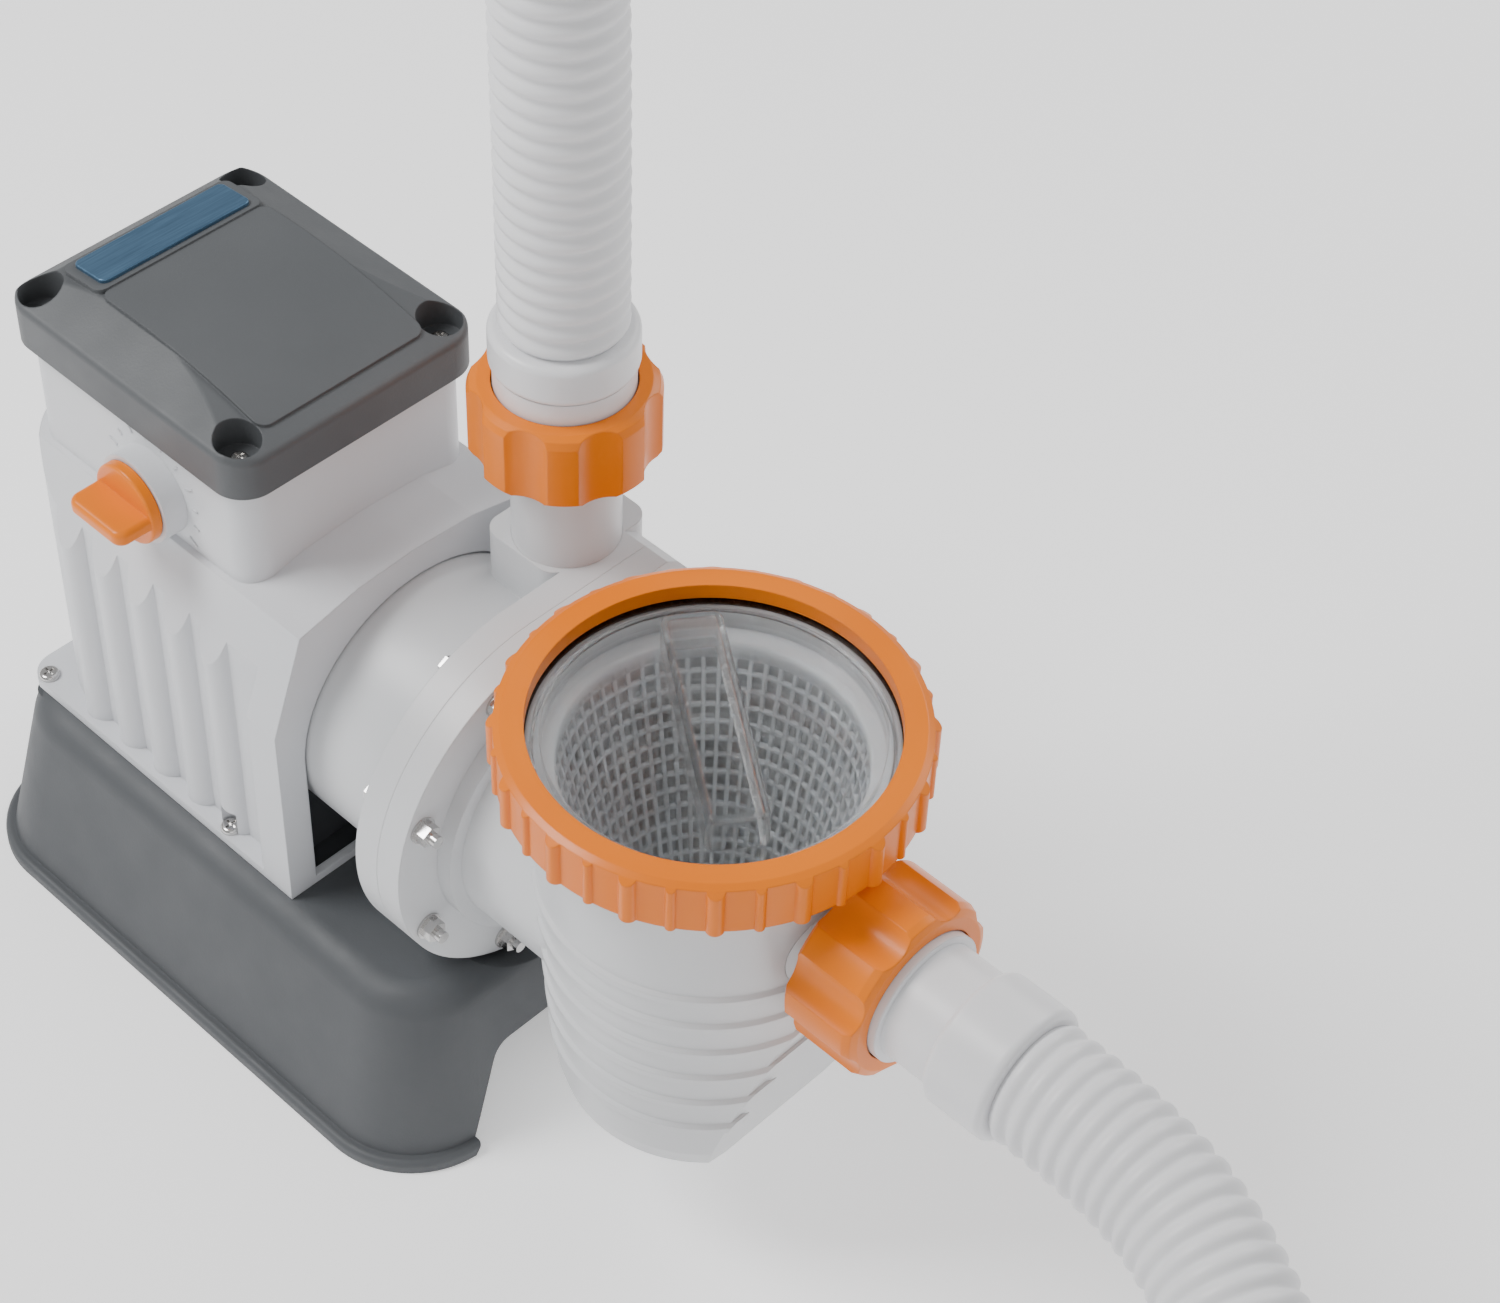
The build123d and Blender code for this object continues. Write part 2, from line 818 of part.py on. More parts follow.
def make_volute_body():
    body = along_x(barrel_radius, barrel_rear, flange_rear + margin)
    body = body + flange_outline(flange_rear, flange_split)
    lump = block(block_rear, flange_rear + margin, block_inner_y, block_outer_y, block_base, block_top)
    body = body + fillet(lump.edges().filter_by(Axis.Z), block_corner)
    body = body - along_x(barrel_radius - barrel_wall, barrel_rear - margin, chamber_rear - back_wall)
    body = body - along_x(chamber_radius, chamber_rear, flange_split + margin)
    seat = block_top - port_seat
    body = body - along_z(port_bore_radius, outlet_base, seat + margin, discharge_x, discharge_y)
    body = body - along_z(port_neck_radius, seat, block_top + margin, discharge_x, discharge_y)
    body = body - along_x(seal_radius, chamber_rear - 2 * back_wall, chamber_rear + margin)
    body = body - body_seal_form(margin)
    for angle in bolt_places():
        y, z = bolt_point(angle)
        start = stud_start() if angle in stud_angles() else flange_rear - 2 * bolt_head_width
        body = body - along_x(bolt_radius, start, flange_split + margin, y, z)
    return body


def make_discharge_port():
    """The threaded neck, seated in the top of the volute block."""
    start = discharge_thread_start
    end = start + thread_length
    port = along_z(port_neck_radius, block_top - port_seat, end, discharge_x, discharge_y)
    port = port + along_z(thread_radius - thread_ridge, start, end, discharge_x, discharge_y)
    for i in range(thread_turns):
        z = start + thread_lead + i * thread_pitch
        port = port + along_z(thread_radius, z, z + thread_width, discharge_x, discharge_y)
    return port - along_z(port_bore_radius, block_top - port_seat - margin, end + margin, discharge_x,
                          discharge_y)


def body_seal_form(proud):
    return sleeve_x(body_seal_outer, body_seal_inner, flange_split - body_seal_depth, flange_split + proud)


def make_body_seal():
    return body_seal_form(0)


def pot_radius_at(z):
    share = (z - pot_low) / (pot_collar_base - pot_low)
    return pot_radius_low + share * (pot_radius_top - pot_radius_low)


def facet_cutter(offset):
    """Everything outside the leaning flat on the inlet side of the pot."""
    slope = (facet_high_x - facet_low_x) / (facet_high_z - pot_floor)
    low_x = facet_low_x + offset - slope * facet_drop
    far_x = pot_x + 2 * pot_radius_top
    points = [(low_x, pot_floor - facet_drop), (facet_high_x + offset, facet_high_z), (far_x, facet_high_z),
              (far_x, pot_floor - facet_drop)]
    face = Plane.XZ * make_face(Polyline(*points, close=True))
    return Pos(0, flange_radius, 0) * extrude(face, 2 * flange_radius)


def pot_form(inset):
    floor = pot_floor + inset
    low = pot_radius_at(pot_low) - inset
    high = pot_radius_at(pot_collar_base) - inset
    points = [(0, floor), (pot_floor_radius - inset, floor),
              (low - pot_floor_round / 2, floor + pot_floor_round), (low, pot_low + inset),
              (high, pot_collar_base), (high, pot_top), (0, pot_top)]
    return turned(points, pot_x) - facet_cutter(-inset)


def pot_band(z):
    low = z - band_height / 2
    high = z + band_height / 2
    inner = pot_radius_low - pot_wall / 2
    points = [(inner, low - margin), (pot_radius_at(low), low - margin),
              (pot_radius_at(low) + band_proud, low + band_edge),
              (pot_radius_at(high) + band_proud, high - band_edge), (pot_radius_at(high), high + margin),
              (inner, high + margin)]
    return turned(points, pot_x) - facet_cutter(band_proud)


def pot_collar():
    low = pot_collar_base - collar_drop
    inner = pot_radius_at(low) - pot_wall / 2
    root = pot_collar_radius - collar_ridge
    points = [(inner, low - collar_drop), (pot_radius_at(low), low - collar_drop), (root, low + pot_wall / 2),
              (root, pot_top), (inner, pot_top)]
    collar = turned(points, pot_x)
    for i in range(thread_turns):
        z = pot_collar_base + margin + i * collar_pitch
        collar = collar + sleeve_z(pot_collar_radius, pot_radius_top, z, z + collar_width, pot_x, 0)
    return collar


def make_strainer_body():
    body = flange_outline(flange_split, flange_front)
    body = body + along_x(tube_radius, flange_split, pot_x)
    body = body + along_x(tube_collar_radius, flange_front - margin, flange_front + tube_collar_depth)
    body = body + pot_form(0) + pot_collar()
    for i in range(band_count):
        body = body + pot_band(band_first + i * band_pitch)
    body = body - pot_form(pot_wall)
    body = body - along_z(pot_ledge_radius, pot_ledge, pot_top + margin, pot_x, 0)
    body = body - along_x(tube_radius - pot_wall, flange_front + tube_web, pot_x)
    body = body - along_x(duct_radius, flange_split - margin, flange_front + tube_web + margin)
    body = body - along_x(inlet_neck_radius, pot_x + port_root, inlet_thread_start, 0, inlet_height)
    body = body - lid_seal_form(margin)
    for angle in bolt_places():
        y, z = bolt_point(angle)
        body = body - along_x(bolt_radius, flange_split - margin, flange_front + margin, y, z)
    return body


def make_inlet_port():
    """The threaded neck, set in the wall of the pot."""
    start = inlet_thread_start
    end = start + thread_length
    port = along_x(inlet_neck_radius, pot_x + port_root, end, 0, inlet_height)
    port = port + along_x(thread_radius - thread_ridge, start, end, 0, inlet_height)
    for i in range(thread_turns):
        x = start + thread_lead + i * thread_pitch
        port = port + along_x(thread_radius, x, x + thread_width, 0, inlet_height)
    port = port - along_x(inlet_bore_radius, pot_x, end + margin, 0, inlet_height)
    return port - pot_form(pot_wall)


def make_suction_ring():
    """The sleeve that leads the water from the strainer tube into the eye of the impeller."""
    return sleeve_x(duct_radius, eye_radius, duct_rear, flange_front + tube_web)


def lid_seal_form(proud):
    return sleeve_z(lid_seal_radius + lid_seal_section, lid_seal_radius - lid_seal_section,
                    pot_top - lid_seal_section, lid_rim_base - margin + proud, pot_x, 0)


def make_lid_seal():
    return lid_seal_form(margin)


# Flange fasteners


def make_flange_bolts():
    bolts = []
    for angle in bolt_places():
        y, z = bolt_point(angle)
        if angle in stud_angles():
            bolts.append(along_x(bolt_radius, stud_start(), bolt_tip, y, z))
        else:
            head = hex_x(bolt_head_width, flange_rear - bolt_head_height, flange_rear, y, z)
            bolts.append(head + along_x(bolt_radius, flange_rear, bolt_tip, y, z))
    return bolts


def make_flange_washers():
    places = [bolt_point(angle) for angle in bolt_places()]
    return [sleeve_x(washer_radius, bolt_radius, flange_front, flange_front + washer_thickness, y, z)
            for y, z in places]


def make_flange_nuts():
    start = flange_front + washer_thickness
    nuts = []
    for angle in bolt_places():
        y, z = bolt_point(angle)
        nut = hex_x(bolt_head_width, start, start + nut_height, y, z)
        nuts.append(nut - along_x(bolt_radius, start - margin, start + 2 * nut_height, y, z))
    return nuts


# Lid, lock ring, basket


def make_lock_ring():
    outline = Circle(ring_outer)
    turn = 360.0 / ring_ribs
    for i in range(ring_ribs):
        outline = outline + Rot(0, 0, i * turn) * Pos(ring_big_rib_at, 0) * Circle(ring_big_rib)
        outline = outline + Rot(0, 0, (i + 0.5) * turn) * Pos(ring_small_rib_at, 0) * Circle(ring_small_rib)
    ring = Pos(pot_x, 0, pot_collar_base) * extrude(outline, ring_top - pot_collar_base)
    low = pot_collar_base - margin
    reach = ring_outer + 2 * ring_big_rib
    dome = [(0, low), (reach, low), (reach, ring_top - ring_side_drop),
            (ring_outer, ring_top - ring_edge_drop), (ring_outer - ring_edge_inset, ring_top), (0, ring_top)]
    ring = ring & turned(dome, pot_x)
    ring = ring - along_z(ring_bore, low, ring_top - ring_lip, pot_x, 0)
    return ring - along_z(ring_opening, low, ring_top + margin, pot_x, 0)


def handle_form(inset, bottom):
    length = handle_length - 2 * inset
    width = handle_width - 2 * inset
    outline = RectangleRounded(length, width, handle_corner - inset)
    bar = extrude(Pos(0, 0, bottom) * outline, handle_top - inset - bottom)
    return Pos(handle_x, handle_y, 0) * Rot(0, 0, handle_turn) * bar


def make_lid_window():
    rim_top = lid_rim_base + lid_rim
    rim = along_z(lid_radius, lid_rim_base, rim_top, pot_x, 0)
    cup = along_z(lid_dish_radius, lid_dish_floor, rim_top, pot_x, 0)
    dish = along_z(lid_dish_radius - lid_wall, lid_dish_floor + lid_wall, ring_top, pot_x, 0)
    bowl = rim + cup - dish
    bowl = fillet(bowl.edges().filter_by(GeomType.CIRCLE).group_by(Axis.Z)[0], lid_round)
    handle = fillet(handle_form(0, lid_dish_floor).edges().group_by(Axis.Z)[-1], handle_round)
    return bowl + handle - handle_form(handle_wall, lid_dish_floor - margin)


def make_strainer_basket():
    """A tapered cup with a plain wall; its rim hangs on the ledge of the pot."""
    rim_top = pot_ledge + basket_rim
    low = basket_floor + basket_wall
    inner_low = basket_low_radius - basket_wall
    inner_top = basket_top_radius - basket_wall
    straight = pot_ledge - basket_straight
    outer = [(0, basket_floor), (basket_low_radius, basket_floor), (basket_top_radius, straight),
             (basket_top_radius, pot_ledge), (basket_rim_radius, pot_ledge), (basket_rim_radius, rim_top),
             (0, rim_top)]
    inner = [(0, low), (inner_low, low), (inner_top, straight), (inner_top, rim_top + margin),
             (0, rim_top + margin)]
    basket = turned(outer, pot_x) - turned(inner, pot_x)
    return basket - along_x(basket_window, pot_x, pot_x + basket_rim_radius, 0, inlet_height)


# Union nuts, gaskets, cuffs


def nut_form():
    """A lobed union nut standing on z = 0, with its lip at the top."""
    outline = Circle(nut_peak)
    for i in range(nut_lobes):
        turn = (i + 0.5) * 360.0 / nut_lobes
        outline = outline - Rot(0, 0, turn) * Pos(nut_valley + nut_scoop, 0) * Circle(nut_scoop)
    crown = [(0, 0), (nut_peak - nut_foot, 0), (nut_peak, nut_foot), (nut_peak, nut_length - nut_crown),
             (nut_peak - nut_shoulder, nut_length - nut_shoulder), (nut_peak - nut_crown, nut_length),
             (0, nut_length)]
    nut = extrude(outline, nut_length) & turned(crown, 0)
    nut = nut - along_z(nut_bore, -margin, nut_length - nut_lip, 0, 0)
    return nut - along_z(nut_lip_bore, 0, nut_length + margin, 0, 0)


def make_discharge_nut():
    return Pos(discharge_x, discharge_y, discharge_thread_start - nut_lead) * nut_form()


def make_inlet_nut():
    return Pos(inlet_thread_start - nut_lead, 0, inlet_height) * Rot(0, 90, 0) * nut_form()


def make_discharge_gasket():
    start = discharge_thread_start + thread_length
    return sleeve_z(port_gasket_radius, port_bore_radius, start, start + port_gasket, discharge_x,
                    discharge_y)


def make_inlet_gasket():
    start = inlet_thread_start + thread_length
    return sleeve_x(port_gasket_radius, inlet_bore_radius, start, start + port_gasket, 0, inlet_height)


def make_link_cuff():
    start = discharge_thread_start + thread_length + port_gasket
    step = start + cuff_flange_length
    collar_start = step + link_shoulder_length
    cuff = along_z(cuff_flange_radius, start, step, discharge_x, discharge_y)
    cuff = cuff + along_z(cuff_shoulder_radius, step, collar_start, discharge_x, discharge_y)
    collar = along_z(link_collar_radius, collar_start, link_cuff_end, discharge_x, discharge_y)
    cuff = cuff + fillet(collar.edges(), cuff_round)
    return cuff - along_z(inlet_bore_radius, start - margin, link_cuff_end + margin, discharge_x, discharge_y)


def make_intake_cuff():
    start = inlet_thread_start + thread_length + port_gasket
    step = start + cuff_flange_length
    neck_start = step + intake_shoulder_length
    cuff = along_x(cuff_flange_radius, start, step, 0, inlet_height)
    cuff = cuff + along_x(cuff_shoulder_radius, step, neck_start, 0, inlet_height)
    cuff = cuff + along_x(intake_tube_radius, neck_start, intake_collar_start, 0, inlet_height)
    collar = along_x(intake_collar_radius, intake_collar_start, intake_cuff_end, 0, inlet_height)
    cuff = cuff + fillet(collar.edges(), cuff_round)
    return cuff - along_x(inlet_bore_radius, start - margin, intake_cuff_end + margin, 0, inlet_height)


def hose_path(route):
    points = [Vector(*p) for p in route]
    radii = []
    for i in range(1, len(points) - 1):
        before = points[i] - points[i - 1]
        after = points[i + 1] - points[i]
        turn = math.radians(before.get_angle(after))
        radii.append(bend_share * min(before.length, after.length) / math.tan(turn / 2))
    return FilletPolyline(*points, radius=radii)


def make_hose(route):
    path = hose_path(route)
    start = Vector(*route[0])
    direction = Vector(*route[1]) - start
    ring = Plane(origin=start, z_dir=direction) * (Circle(hose_radius) - Circle(hose_radius - hose_wall))
    return sweep(ring, path=path)


def make_end_cuff(route):
    end = Vector(*route[-1])
    direction = (end - Vector(*route[-2])).normalized()
    outline = Circle(end_cuff_radius) - Circle(inlet_bore_radius)
    return extrude(Plane(origin=end, z_dir=direction) * outline, end_cuff_length)


# Motor


def plate_front():
    return barrel_rear


def plate_rear():
    return barrel_rear - plate_thickness


def shell_front():
    return plate_rear() - shield_thickness


def make_mounting_plate():
    half = housing_valley - housing_wall - plate_gap
    plate = block(plate_rear(), plate_front(), -half, half, base_top + foot_thickness + plate_foot_gap,
                  axis_height + plate_shoulder)
    plate = plate + along_x(half, plate_rear(), plate_front())
    return plate - along_x(shaft_radius + plate_shaft_gap, plate_rear() - margin, plate_front() + margin)


def make_front_shield():
    shield = along_x(shell_radius, shell_front(), plate_rear())
    return shield - along_x(bearing_radius, shell_front() - margin, plate_rear() + margin)


def make_rear_shield():
    start = shell_rear - shield_thickness
    shield = along_x(shell_radius, start, shell_rear)
    for i in range(vent_count):
        a = 2 * math.pi * i / vent_count
        y = vent_circle * math.cos(a)
        z = axis_height + vent_circle * math.sin(a)
        shield = shield - along_x(vent_radius, start - margin, shell_rear + margin, y, z)
    return shield - along_x(bearing_radius, start - margin, shell_rear + margin)


def make_bearing(x0):
    return sleeve_x(bearing_radius, shaft_radius + running_gap, x0, x0 + bearing_width)


def make_motor_shell():
    return sleeve_x(shell_radius, shell_radius - shell_wall, shell_rear, shell_front())


def make_stator_core():
    core = sleeve_x(shell_radius - shell_wall, stator_bore, stator_rear, stator_front)
    for i in range(slot_count):
        a = 2 * math.pi * i / slot_count
        y = slot_circle * math.cos(a)
        z = axis_height + slot_circle * math.sin(a)
        core = core - along_x(slot_radius, stator_rear - margin, stator_front + margin, y, z)
    return core


def make_stator_windings():
    rear = sleeve_x(winding_outer, winding_inner, stator_rear - winding_length, stator_rear)
    front = sleeve_x(winding_outer, winding_inner, stator_front, stator_front + winding_length)
    return [fillet(rear.edges().group_by(Axis.X)[0], winding_round),
            fillet(front.edges().group_by(Axis.X)[-1], winding_round)]


def make_motor_shaft():
    return along_x(shaft_radius, shaft_rear, shaft_front)


def make_rotor_core():
    return sleeve_x(rotor_radius, shaft_radius, stator_rear, stator_front)


def make_cooling_fan():
    end = shell_rear - shield_thickness - fan_gap
    start = end - fan_blade_length
    fan = along_x(fan_radius, end, end + fan_disc) + along_x(fan_hub, start, end)
    for i in range(fan_blades):
        blade = block(start, end + margin, fan_blade_root, fan_radius - fan_disc, -fan_blade_half,
                      fan_blade_half)
        fan = fan + Pos(0, 0, axis_height) * Rot(i * 360.0 / fan_blades, 0, 0) * blade
    return fan - along_x(shaft_radius, start - margin, end + fan_disc + margin)


def make_impeller():
    front = impeller_rear + impeller_plate + impeller_blade_height
    wheel = along_x(impeller_radius, impeller_rear, impeller_rear + impeller_plate)
    wheel = wheel + along_x(hub_radius, impeller_rear, shaft_front + hub_cap)
    upper_half = block(impeller_rear, front, -impeller_radius, impeller_radius, axis_height,
                       axis_height + impeller_radius)
    for i in range(impeller_blades):
        vane = sleeve_x(vane_outer, vane_inner, impeller_rear, front, vane_centre, axis_height)
        vane = vane & along_x(impeller_radius - margin, impeller_rear, front) & upper_half
        vane = vane - along_x(vane_root, impeller_rear - margin, front + margin)
        turn = Pos(0, 0, axis_height) * Rot(i * 360.0 / impeller_blades, 0, 0) * Pos(0, 0, -axis_height)
        wheel = wheel + turn * vane
    wheel = wheel + sleeve_x(impeller_radius, eye_radius - shroud_lap, front - margin,
                             front + shroud_thickness)
    return wheel - along_x(shaft_radius, impeller_rear - margin, shaft_front)


def make_seal_seat():
    return sleeve_x(seal_radius, shaft_radius + seal_seat_gap, chamber_rear - back_wall, chamber_rear)


def make_seal_head():
    return sleeve_x(seal_head_radius, shaft_radius, chamber_rear + seal_face_gap, impeller_rear)


pieces = {
    "base_tray": make_base_tray(),
    "motor_housing": make_motor_housing(),
    "box_cover": make_box_cover(),
    "cover_gasket": make_cover_gasket(),
    "badge_plate": make_badge_plate(),
    "cable_gland": make_cable_gland(),
    "gland_nut": make_gland_nut(),
    "timer_knob": make_timer_knob(),
    "knob_spindle": make_knob_spindle(),
    "timer_unit": make_timer_unit(),
    "capacitor": make_capacitor(),
    "terminal_block": make_terminal_block(),
    "mounting_plate": make_mounting_plate(),
    "front_shield": make_front_shield(),
    "rear_shield": make_rear_shield(),
    "front_bearing": make_bearing(plate_rear() - bearing_width),
    "rear_bearing": make_bearing(shell_rear - shield_thickness),
    "motor_shell": make_motor_shell(),
    "stator_core": make_stator_core(),
    "motor_shaft": make_motor_shaft(),
    "rotor_core": make_rotor_core(),
    "cooling_fan": make_cooling_fan(),
    "impeller": make_impeller(),
    "seal_seat": make_seal_seat(),
    "seal_head": make_seal_head(),
    "volute_body": make_volute_body(),
    "body_seal": make_body_seal(),
    "discharge_port": make_discharge_port(),
    "strainer_body": make_strainer_body(),
    "inlet_port": make_inlet_port(),
    "suction_ring": make_suction_ring(),
    "strainer_basket": make_strainer_basket(),
    "lid_window": make_lid_window(),
    "lid_seal": make_lid_seal(),
    "lock_ring": make_lock_ring(),
    "discharge_nut": make_discharge_nut(),
    "inlet_nut": make_inlet_nut(),
    "discharge_gasket": make_discharge_gasket(),
    "inlet_gasket": make_inlet_gasket(),
    "link_cuff": make_link_cuff(),
    "link_hose": make_hose(link_route),
    "link_end_cuff": make_end_cuff(link_route),
    "intake_cuff": make_intake_cuff(),
    "intake_hose": make_hose(intake_route),
    "intake_end_cuff": make_end_cuff(intake_route),
}
groups = {
    "cover_screws": make_cover_screws(),
    "foot_screws": make_foot_screws(),
    "flange_bolts": make_flange_bolts(),
    "flange_washers": make_flange_washers(),
    "flange_nuts": make_flange_nuts(),
    "stator_windings": make_stator_windings(),
}

for name, shape in pieces.items():
    save(shape, name)
for name, shapes in groups.items():
    save(Compound(children=shapes), name)
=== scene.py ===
import bpy, bmesh, math
from mathutils import Matrix, Vector


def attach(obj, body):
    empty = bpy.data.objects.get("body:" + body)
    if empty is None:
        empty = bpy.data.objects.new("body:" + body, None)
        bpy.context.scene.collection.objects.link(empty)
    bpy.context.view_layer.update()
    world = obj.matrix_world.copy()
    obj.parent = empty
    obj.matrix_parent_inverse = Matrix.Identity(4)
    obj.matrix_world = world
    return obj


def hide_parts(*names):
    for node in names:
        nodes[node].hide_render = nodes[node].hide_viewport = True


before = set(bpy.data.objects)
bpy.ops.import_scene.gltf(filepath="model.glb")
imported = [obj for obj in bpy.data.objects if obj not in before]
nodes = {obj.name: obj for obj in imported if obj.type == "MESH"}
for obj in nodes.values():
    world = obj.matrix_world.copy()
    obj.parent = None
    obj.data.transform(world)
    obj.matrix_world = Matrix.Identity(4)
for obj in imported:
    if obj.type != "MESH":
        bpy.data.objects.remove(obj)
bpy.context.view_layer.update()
mm = 0.001

# camera, floor and lights: metres, degrees, watts
cameraView = {"place": (0.6482, -0.5621, 1.0723), "azimuth": 42.27, "elevation": 45.66, "roll": 2.57,
              "lens": 77.55, "sensor": 36.0, "farClip": 20}
studio = {
    "worldGlow": 0.5, "floorHalf": 6.0, "floorTint": (0.93, 0.93, 0.935, 1), "floorRoughness": 0.85,
    "floorGlow": 0.45,
    "lights": {
        "keyLight": {"place": (-0.9, -0.9, 1.8), "aim": (0, 0, 0.15), "size": (0.8, 0.8), "power": 38},
        "fillLight": {"place": (1.6, -1.2, 1.3), "aim": (0, 0, 0.1), "size": (1.6, 1.2), "power": 7},
        "rimLight": {"place": (0.2, 1.8, 1.5), "aim": (0, 0, 0.2), "size": (1.6, 0.8), "power": 20}}}


def addCamera():
    a = math.radians(cameraView["azimuth"])
    e = math.radians(cameraView["elevation"])
    r = math.radians(cameraView["roll"])
    back = Vector((math.sin(a) * math.cos(e), -math.cos(a) * math.cos(e), math.sin(e)))
    level = Vector((math.cos(a), math.sin(a), 0))
    tip = back.cross(level)
    right = math.cos(r) * level + math.sin(r) * tip
    up = math.cos(r) * tip - math.sin(r) * level
    data = bpy.data.cameras.new("camera")
    data.lens = cameraView["lens"]
    data.sensor_width = cameraView["sensor"]
    data.clip_end = cameraView["farClip"]
    cam = bpy.data.objects.new("camera", data)
    bpy.context.collection.objects.link(cam)
    turn = Matrix((right, up, back)).transposed().to_4x4()
    cam.matrix_world = Matrix.Translation(cameraView["place"]) @ turn
    bpy.context.scene.camera = cam


def addLight(name, settings):
    data = bpy.data.lights.new(name, "AREA")
    data.shape = "RECTANGLE"
    data.size, data.size_y = settings["size"]
    data.energy = settings["power"]
    lamp = bpy.data.objects.new(name, data)
    bpy.context.collection.objects.link(lamp)
    lamp.location = settings["place"]
    ray = Vector(settings["aim"]) - Vector(settings["place"])
    lamp.rotation_euler = ray.to_track_quat("-Z", "Y").to_euler()


def addStudio():
    world = bpy.data.worlds.new("studio")
    world.use_nodes = True
    sky = world.node_tree.nodes["Background"]
    sky.inputs["Color"].default_value = (1, 1, 1, 1)
    sky.inputs["Strength"].default_value = studio["worldGlow"]
    bpy.context.scene.world = world
    mesh = bpy.data.meshes.new("floor")
    half = studio["floorHalf"]
    corners = [(-half, -half, 0), (half, -half, 0), (half, half, 0), (-half, half, 0)]
    mesh.from_pydata(corners, [], [(0, 1, 2, 3)])
    floor = bpy.data.objects.new("floor", mesh)
    bpy.context.collection.objects.link(floor)
    paint = bpy.data.materials.new("floorPaint")
    paint.use_nodes = True
    shader = paint.node_tree.nodes["Principled BSDF"]
    shader.inputs["Base Color"].default_value = studio["floorTint"]
    shader.inputs["Roughness"].default_value = studio["floorRoughness"]
    shader.inputs["Emission Color"].default_value = (1, 1, 1, 1)
    shader.inputs["Emission Strength"].default_value = studio["floorGlow"]
    mesh.materials.append(paint)
    for name, settings in studio["lights"].items():
        addLight(name, settings)


addCamera()
addStudio()
print("stage: camera and studio")

# shared mesh helpers
turnSteps = 128
weldDistance = 1e-6


# The hoses bring their material with their mesh, and give None.
def addPiece(name, mesh, material, body, replaces=()):
    piece = bpy.data.objects.new(name, mesh)
    bpy.context.collection.objects.link(piece)
    if material:
        mesh.materials.clear()
        mesh.materials.append(material)
    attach(piece, body)
    if replaces:
        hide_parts(*replaces)
    return piece


def finishMesh(bm, name, smooth=True):
    bmesh.ops.remove_doubles(bm, verts=bm.verts, dist=weldDistance)
    bmesh.ops.recalc_face_normals(bm, faces=bm.faces)
    for face in bm.faces:
        face.smooth = smooth
    mesh = bpy.data.meshes.new(name)
    bm.to_mesh(mesh)
    bm.free()
    return mesh


# Turns a closed outline of (radius, height) pairs, in millimetres, about an upright line through centre.
def spunMesh(name, outline, centre):
    cx, cy = centre
    bm = bmesh.new()
    rings = []
    for k in range(turnSteps):
        a = 2 * math.pi * k / turnSteps
        rings.append([bm.verts.new((cx + r * mm * math.cos(a), cy + r * mm * math.sin(a), z * mm))
                      for r, z in outline])
    count = len(outline)
    for k in range(turnSteps):
        here, there = rings[k], rings[(k + 1) % turnSteps]
        for i in range(count):
            j = (i + 1) % count
            bm.faces.new((here[i], there[i], there[j], here[j]))
    return finishMesh(bm, name)


# shared node helpers: sockets gives each input, by name or number, a value or another node's output
def addNode(tree, kind, sockets=None, **settings):
    node = tree.nodes.new(kind)
    for key, value in settings.items():
        setattr(node, key, value)
    for title, value in (sockets or {}).items():
        if isinstance(value, bpy.types.NodeSocket):
            tree.links.new(value, node.inputs[title])
        else:
            node.inputs[title].default_value = value
    return node


def mathNode(tree, operation, *values):
    return addNode(tree, "ShaderNodeMath", dict(enumerate(values)), operation=operation).outputs[0]


def vectorNode(tree, **parts):
    return addNode(tree, "ShaderNodeCombineXYZ", parts).outputs[0]


# The value at a share of the way from low to high.
def betweenNode(tree, share, low, high):
    rise = mathNode(tree, "MULTIPLY", share, mathNode(tree, "SUBTRACT", high, low))
    return mathNode(tree, "ADD", low, rise)


# materials
noiseLow, noiseHigh = 0.3, 0.7  # most of a noise lies between these
moulded = {"ior": 1.48, "specular": 0.5, "coatGloss": 0.12, "glowReach": (0.004, 0.0035, 0.003),
           "rippleHeight": 0.0008, "grainHeight": 0.00012, "edge": 0.0009}


def startMaterial(name):
    material = bpy.data.materials.new(name)
    material.use_nodes = True
    tree = material.node_tree
    return material, tree, tree.nodes["Principled BSDF"]


def noiseFrom(tree, scale, detail, rough=0.55, stretch=None):
    source = addNode(tree, "ShaderNodeTexCoord").outputs["Object"]
    if stretch:
        source = addNode(tree, "ShaderNodeMapping", {"Scale": stretch, "Vector": source}).outputs["Vector"]
    return addNode(tree, "ShaderNodeTexNoise", {
        "Scale": scale, "Detail": detail, "Roughness": rough, "Vector": source}).outputs["Fac"]


def rampFrom(tree, source, low, high):
    ramp = addNode(tree, "ShaderNodeValToRGB", {"Fac": source})
    for stop, place, tint in zip(ramp.color_ramp.elements, (noiseLow, noiseHigh), (low, high)):
        stop.position = place
        stop.color = (*tint, 1)
    return ramp.outputs["Color"]


def spreadFrom(tree, source, low, high):
    spread = addNode(tree, "ShaderNodeMapRange", {
        "From Min": noiseLow, "From Max": noiseHigh, "To Min": low, "To Max": high, "Value": source})
    return spread.outputs["Result"]


# layers holds (height socket, strength, distance in metres), laid one over the other on softened edges.
def bumpFrom(tree, shader, layers, edge=0.0):
    last = None
    if edge:
        last = addNode(tree, "ShaderNodeBevel", {"Radius": edge}, samples=4).outputs["Normal"]
    for source, strength, distance in layers:
        bump = addNode(tree, "ShaderNodeBump", {"Strength": strength, "Distance": distance, "Height": source})
        if last:
            tree.links.new(last, bump.inputs["Normal"])
        last = bump.outputs["Normal"]
    tree.links.new(last, shader.inputs["Normal"])


